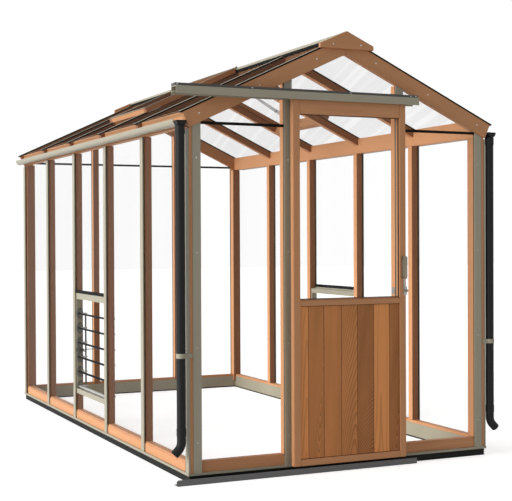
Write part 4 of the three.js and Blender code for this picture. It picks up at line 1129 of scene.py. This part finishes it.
frame_pivot = about_hinge(opener_radius, 5.0)
sash_pivot = about_hinge(opener_radius, 3.3)
elbow = about_hinge(opener_radius - 0.400, 4.15)
stile_section = (
    (vent_top + groove, vent_high), (vent_bottom, vent_high), (vent_bottom, vent_low),
    (vent_top + plumb, vent_low), (vent_top + groove * slope_tan, vent_high - groove),
)
top_section = (
    (vent_top + groove, vent_high), (vent_top + plumb + vent_rail, vent_high),
    (vent_top + plumb + vent_rail, vent_low), (vent_top + plumb, vent_low),
    (vent_top + groove * slope_tan, vent_high - groove),
)
for side, name in sides:
    along_slope = (side * slope_cos, 0.0, -slope_sin)
    body = f"vent_{name}"
    stile_outline, top_outline = (
        mirrored([roof_point(*corner) for corner in section], side)
        for section in (stile_section, top_section)
    )
    foot_outline = roof_outline(
        vent_bottom - vent_rail, vent_bottom, vent_low, vent_high - 0.0002, side
    )
    # The stiles are painted darker than the rails, as painted shade.
    bars = [
        timber(stile_outline, 1, vent_front, vent_front + vent_rail, along_slope, tone=0.85),
        timber(stile_outline, 1, vent_back - vent_rail, vent_back, along_slope, tone=0.85),
        timber(top_outline, 1, *between_stiles, (0, 1, 0), tone=0.4),
        timber(foot_outline, 1, *between_stiles, (0, 1, 0), tone=0.34),
    ]
    piece(f"{name}_vent_sash", bars, cedar, body, "cedar", f"vent_sash_{name}")
    foot_strip = roof_outline(
        vent_bottom - strip_width, vent_bottom, pane_top, pane_top + 0.0018, side
    )
    side_strip = roof_outline(vent_top + 0.010, vent_bottom, pane_top, pane_top + 0.0017, side)
    strips = [
        prism(foot_strip, 1, vent_front, vent_back, strip_edge),
        prism(side_strip, 1, vent_front, vent_front + strip_width, strip_edge),
        prism(side_strip, 1, vent_back - strip_width, vent_back, strip_edge),
    ]
    lug = [
        prism(roof_outline(*corners, side), 1, lug_y, lug_y + arm_thick, 0.0004)
        for corners in (
            (sash_pivot[0] - eye, 0.7175, vent_low, vent_high - small_gap),
            (sash_pivot[0] - eye, sash_pivot[0] + eye, sash_pivot[1] - eye, vent_low + 0.004),
        )
    ]
    piece(f"{name}_vent_edging", strips, sage, body, "sage_aluminium")
    piece(f"{name}_vent_lug", lug, steel, body, "steel")
    plate = roof_outline(
        frame_pivot[0] - eye, trimmer_down[0] + 0.001, frame_pivot[1] - eye, frame_pivot[1] + eye,
        side,
    )
    bracket_back = vent_middle - 0.0033
    bracket = prism(plate, 1, bracket_back - arm_thick, bracket_back, 0.0004)
    piece(f"{name}_opener_bracket", [bracket], steel, "house", "steel")
    tube_lean = (Vector(elbow) - Vector(frame_pivot)).normalized()
    tube_centres = []
    for reach in (0.030, 0.032, 0.178, 0.180):
        across, height = roof_point(*(Vector(frame_pivot) + tube_lean * reach))
        tube_centres.append((side * across, vent_middle - 0.0145, height))
    lower_arm = [
        arm(frame_pivot, elbow, vent_middle - arm_thick, vent_middle, side),
        pin(frame_pivot, vent_middle - 0.006, vent_middle, 0.004, side),
        swept(tube_centres, 0.013),
    ]
    piece(
        f"{name}_opener_lower_arm", lower_arm, steel, f"vent_opener_{name}", "steel",
        f"vent_opener_{name}", smooth=35,
    )
    upper_arm = [
        arm(sash_pivot, elbow, upper_back - arm_thick, upper_back, side),
        pin(sash_pivot, lug_y, upper_back, 0.004, side),
        pin(elbow, vent_middle - arm_thick, upper_back, 0.003, side),
    ]
    piece(
        f"{name}_opener_upper_arm", upper_arm, steel, f"vent_arm_{name}", "steel",
        f"vent_arm_{name}", smooth=35,
    )


# Louvres. Six clear glass blades turn on pivots between the jambs of an aluminium frame, the lowest
# with a steel edge channel and the rest with black ones. A link bar joins their cranks, and a lever
# on a round plate at the rear jamb tips them shut.
holder_grey = new_coat("holder_grey", (0.20, 0.20, 0.17, 1.0), (0.30, 0.30, 0.26, 1.0))
pivot_x = half_width - 0.030
lowest_pivot, pivot_step = 0.283, 0.104
pivot_heights = [lowest_pivot + pivot_step * number for number in range(6)]
opening_front = post_centres[2] + 0.0393
opening_back = post_centres[3] - 0.0393
blade_back, clip_back = opening_back - 0.0116, opening_back - 0.0076
clip_front = opening_front + 0.00415
pin_reach, pivot_radius, link_pin_radius = 0.008, 0.004, 0.003
crank_angle = math.radians(-20.0)
crank_length = 0.046
crank_x = pivot_x - crank_length * math.cos(crank_angle)
crank_drop = crank_length * math.sin(crank_angle)


def crank_outline(height, side):
    """A crank plate with round ends, from the pivot to the link's pin."""
    link_end = arc(crank_x, height + crank_drop, 0.006, crank_angle + math.pi / 2, math.pi, 8)
    pivot_end = arc(pivot_x, height, 0.006, crank_angle - math.pi / 2, math.pi, 8)
    return mirrored(link_end + pivot_end, side)


def peg(across, height, radius, first_y, last_y):
    return prism(disc(across, height, radius), 1, first_y, last_y, 0.0003)


half_turn = arc(0.0, 0.0, 1.0, 0.0, math.pi, 10)
cheek_outer = [(pivot_x + 0.025 * x, 0.042 * z) for x, z in half_turn]
cheek_inner = [(pivot_x - 0.007 + 0.0065 * x, 0.005 + 0.022 * z) for x, z in half_turn[::-1]]
lever_height = pivot_heights[2] + pivot_step / 2
lever_y = (opening_back - 0.0033, opening_back - 0.0005)
lever_upper = [
    (pivot_x + 0.003, 0.003), (pivot_x - 0.119, 0.003), (pivot_x - 0.123, 0.007),
    (pivot_x - 0.133, 0.007), (pivot_x - 0.135, 0.004),
]
lever_lower = [(x, -z) for x, z in lever_upper[::-1]]
lever = [(x, lever_height + z) for x, z in lever_upper + lever_lower]
for side, name in sides:
    paint(f"louvre_{name}_frame", sage)
    paint(f"louvre_{name}_link", holder_grey)
    for number, height in enumerate(pivot_heights, 1):
        body = f"louvre_{name}_blade_{number}"
        pane = mirrored(box(pivot_x - 0.098, pivot_x + 0.014, height - 0.002, height + 0.002), side)
        pane_bar = prism(pane, 1, clip_front - small_gap, blade_back + small_gap, 0.0006)
        piece(f"{name}_blade_{number}_pane", [pane_bar], wall_glass, body, "glass", body)
        edging = mirrored(
            box(pivot_x - 0.002, pivot_x + 0.0148, height - 0.0052, height + 0.0052), side
        )
        piece(
            f"{name}_blade_{number}_edging",
            [prism(edging, 1, clip_front + small_gap, blade_back - small_gap, 0.0012)],
            steel if number == 1 else seal, body, "black_plastic",
        )
        hook = mirrored([
            (pivot_x + 0.014, height + 0.0048), (pivot_x - 0.050, height + 0.0048),
            (pivot_x - 0.056, height + 0.002), (pivot_x - 0.056, height - 0.0048),
            (pivot_x + 0.012, height - 0.0048), (pivot_x + 0.014, height - 0.002),
        ], side)
        clips = [
            prism(hook, 1, opening_front + 0.00045, clip_front, 0.0005),
            prism(hook, 1, blade_back, clip_back, 0.0005),
            prism(crank_outline(height, side), 1, blade_back, clip_back, 0.0004),
            peg(side * pivot_x, height, pivot_radius, opening_front - pin_reach, clip_front),
            peg(side * pivot_x, height, pivot_radius, blade_back, opening_back + pin_reach),
            peg(
                side * crank_x, height + crank_drop, link_pin_radius, blade_back,
                opening_back - 0.004,
            ),
        ]
        holders = []
        for up in (1, -1):
            cheek = [(side * x, height + up * z) for x, z in cheek_outer + cheek_inner]
            holders.append(prism(cheek, 1, blade_back + 0.0006, blade_back + 0.0021, 0.0))
        piece(f"{name}_blade_{number}_clips", clips, steel, body, "steel", smooth=35)
        piece(f"{name}_blade_{number}_holder", holders, holder_grey, body, "steel")
    bars = [
        prism(mirrored(lever, side), 1, *lever_y, 0.0005),
        prism(crank_outline(lever_height, side), 1, *lever_y, 0.0004),
        prism(disc(side * pivot_x, lever_height, 0.026, 24), 1, *lever_y, 0.0004),
        peg(side * pivot_x, lever_height, pivot_radius, lever_y[0], opening_back + pin_reach),
        peg(
            side * crank_x, lever_height + crank_drop, link_pin_radius, opening_back - 0.0073,
            lever_y[1],
        ),
    ]
    piece(
        f"{name}_louvre_lever", bars, holder_grey, f"louvre_{name}_lever", "steel",
        f"louvre_{name}_lever", smooth=35,
    )
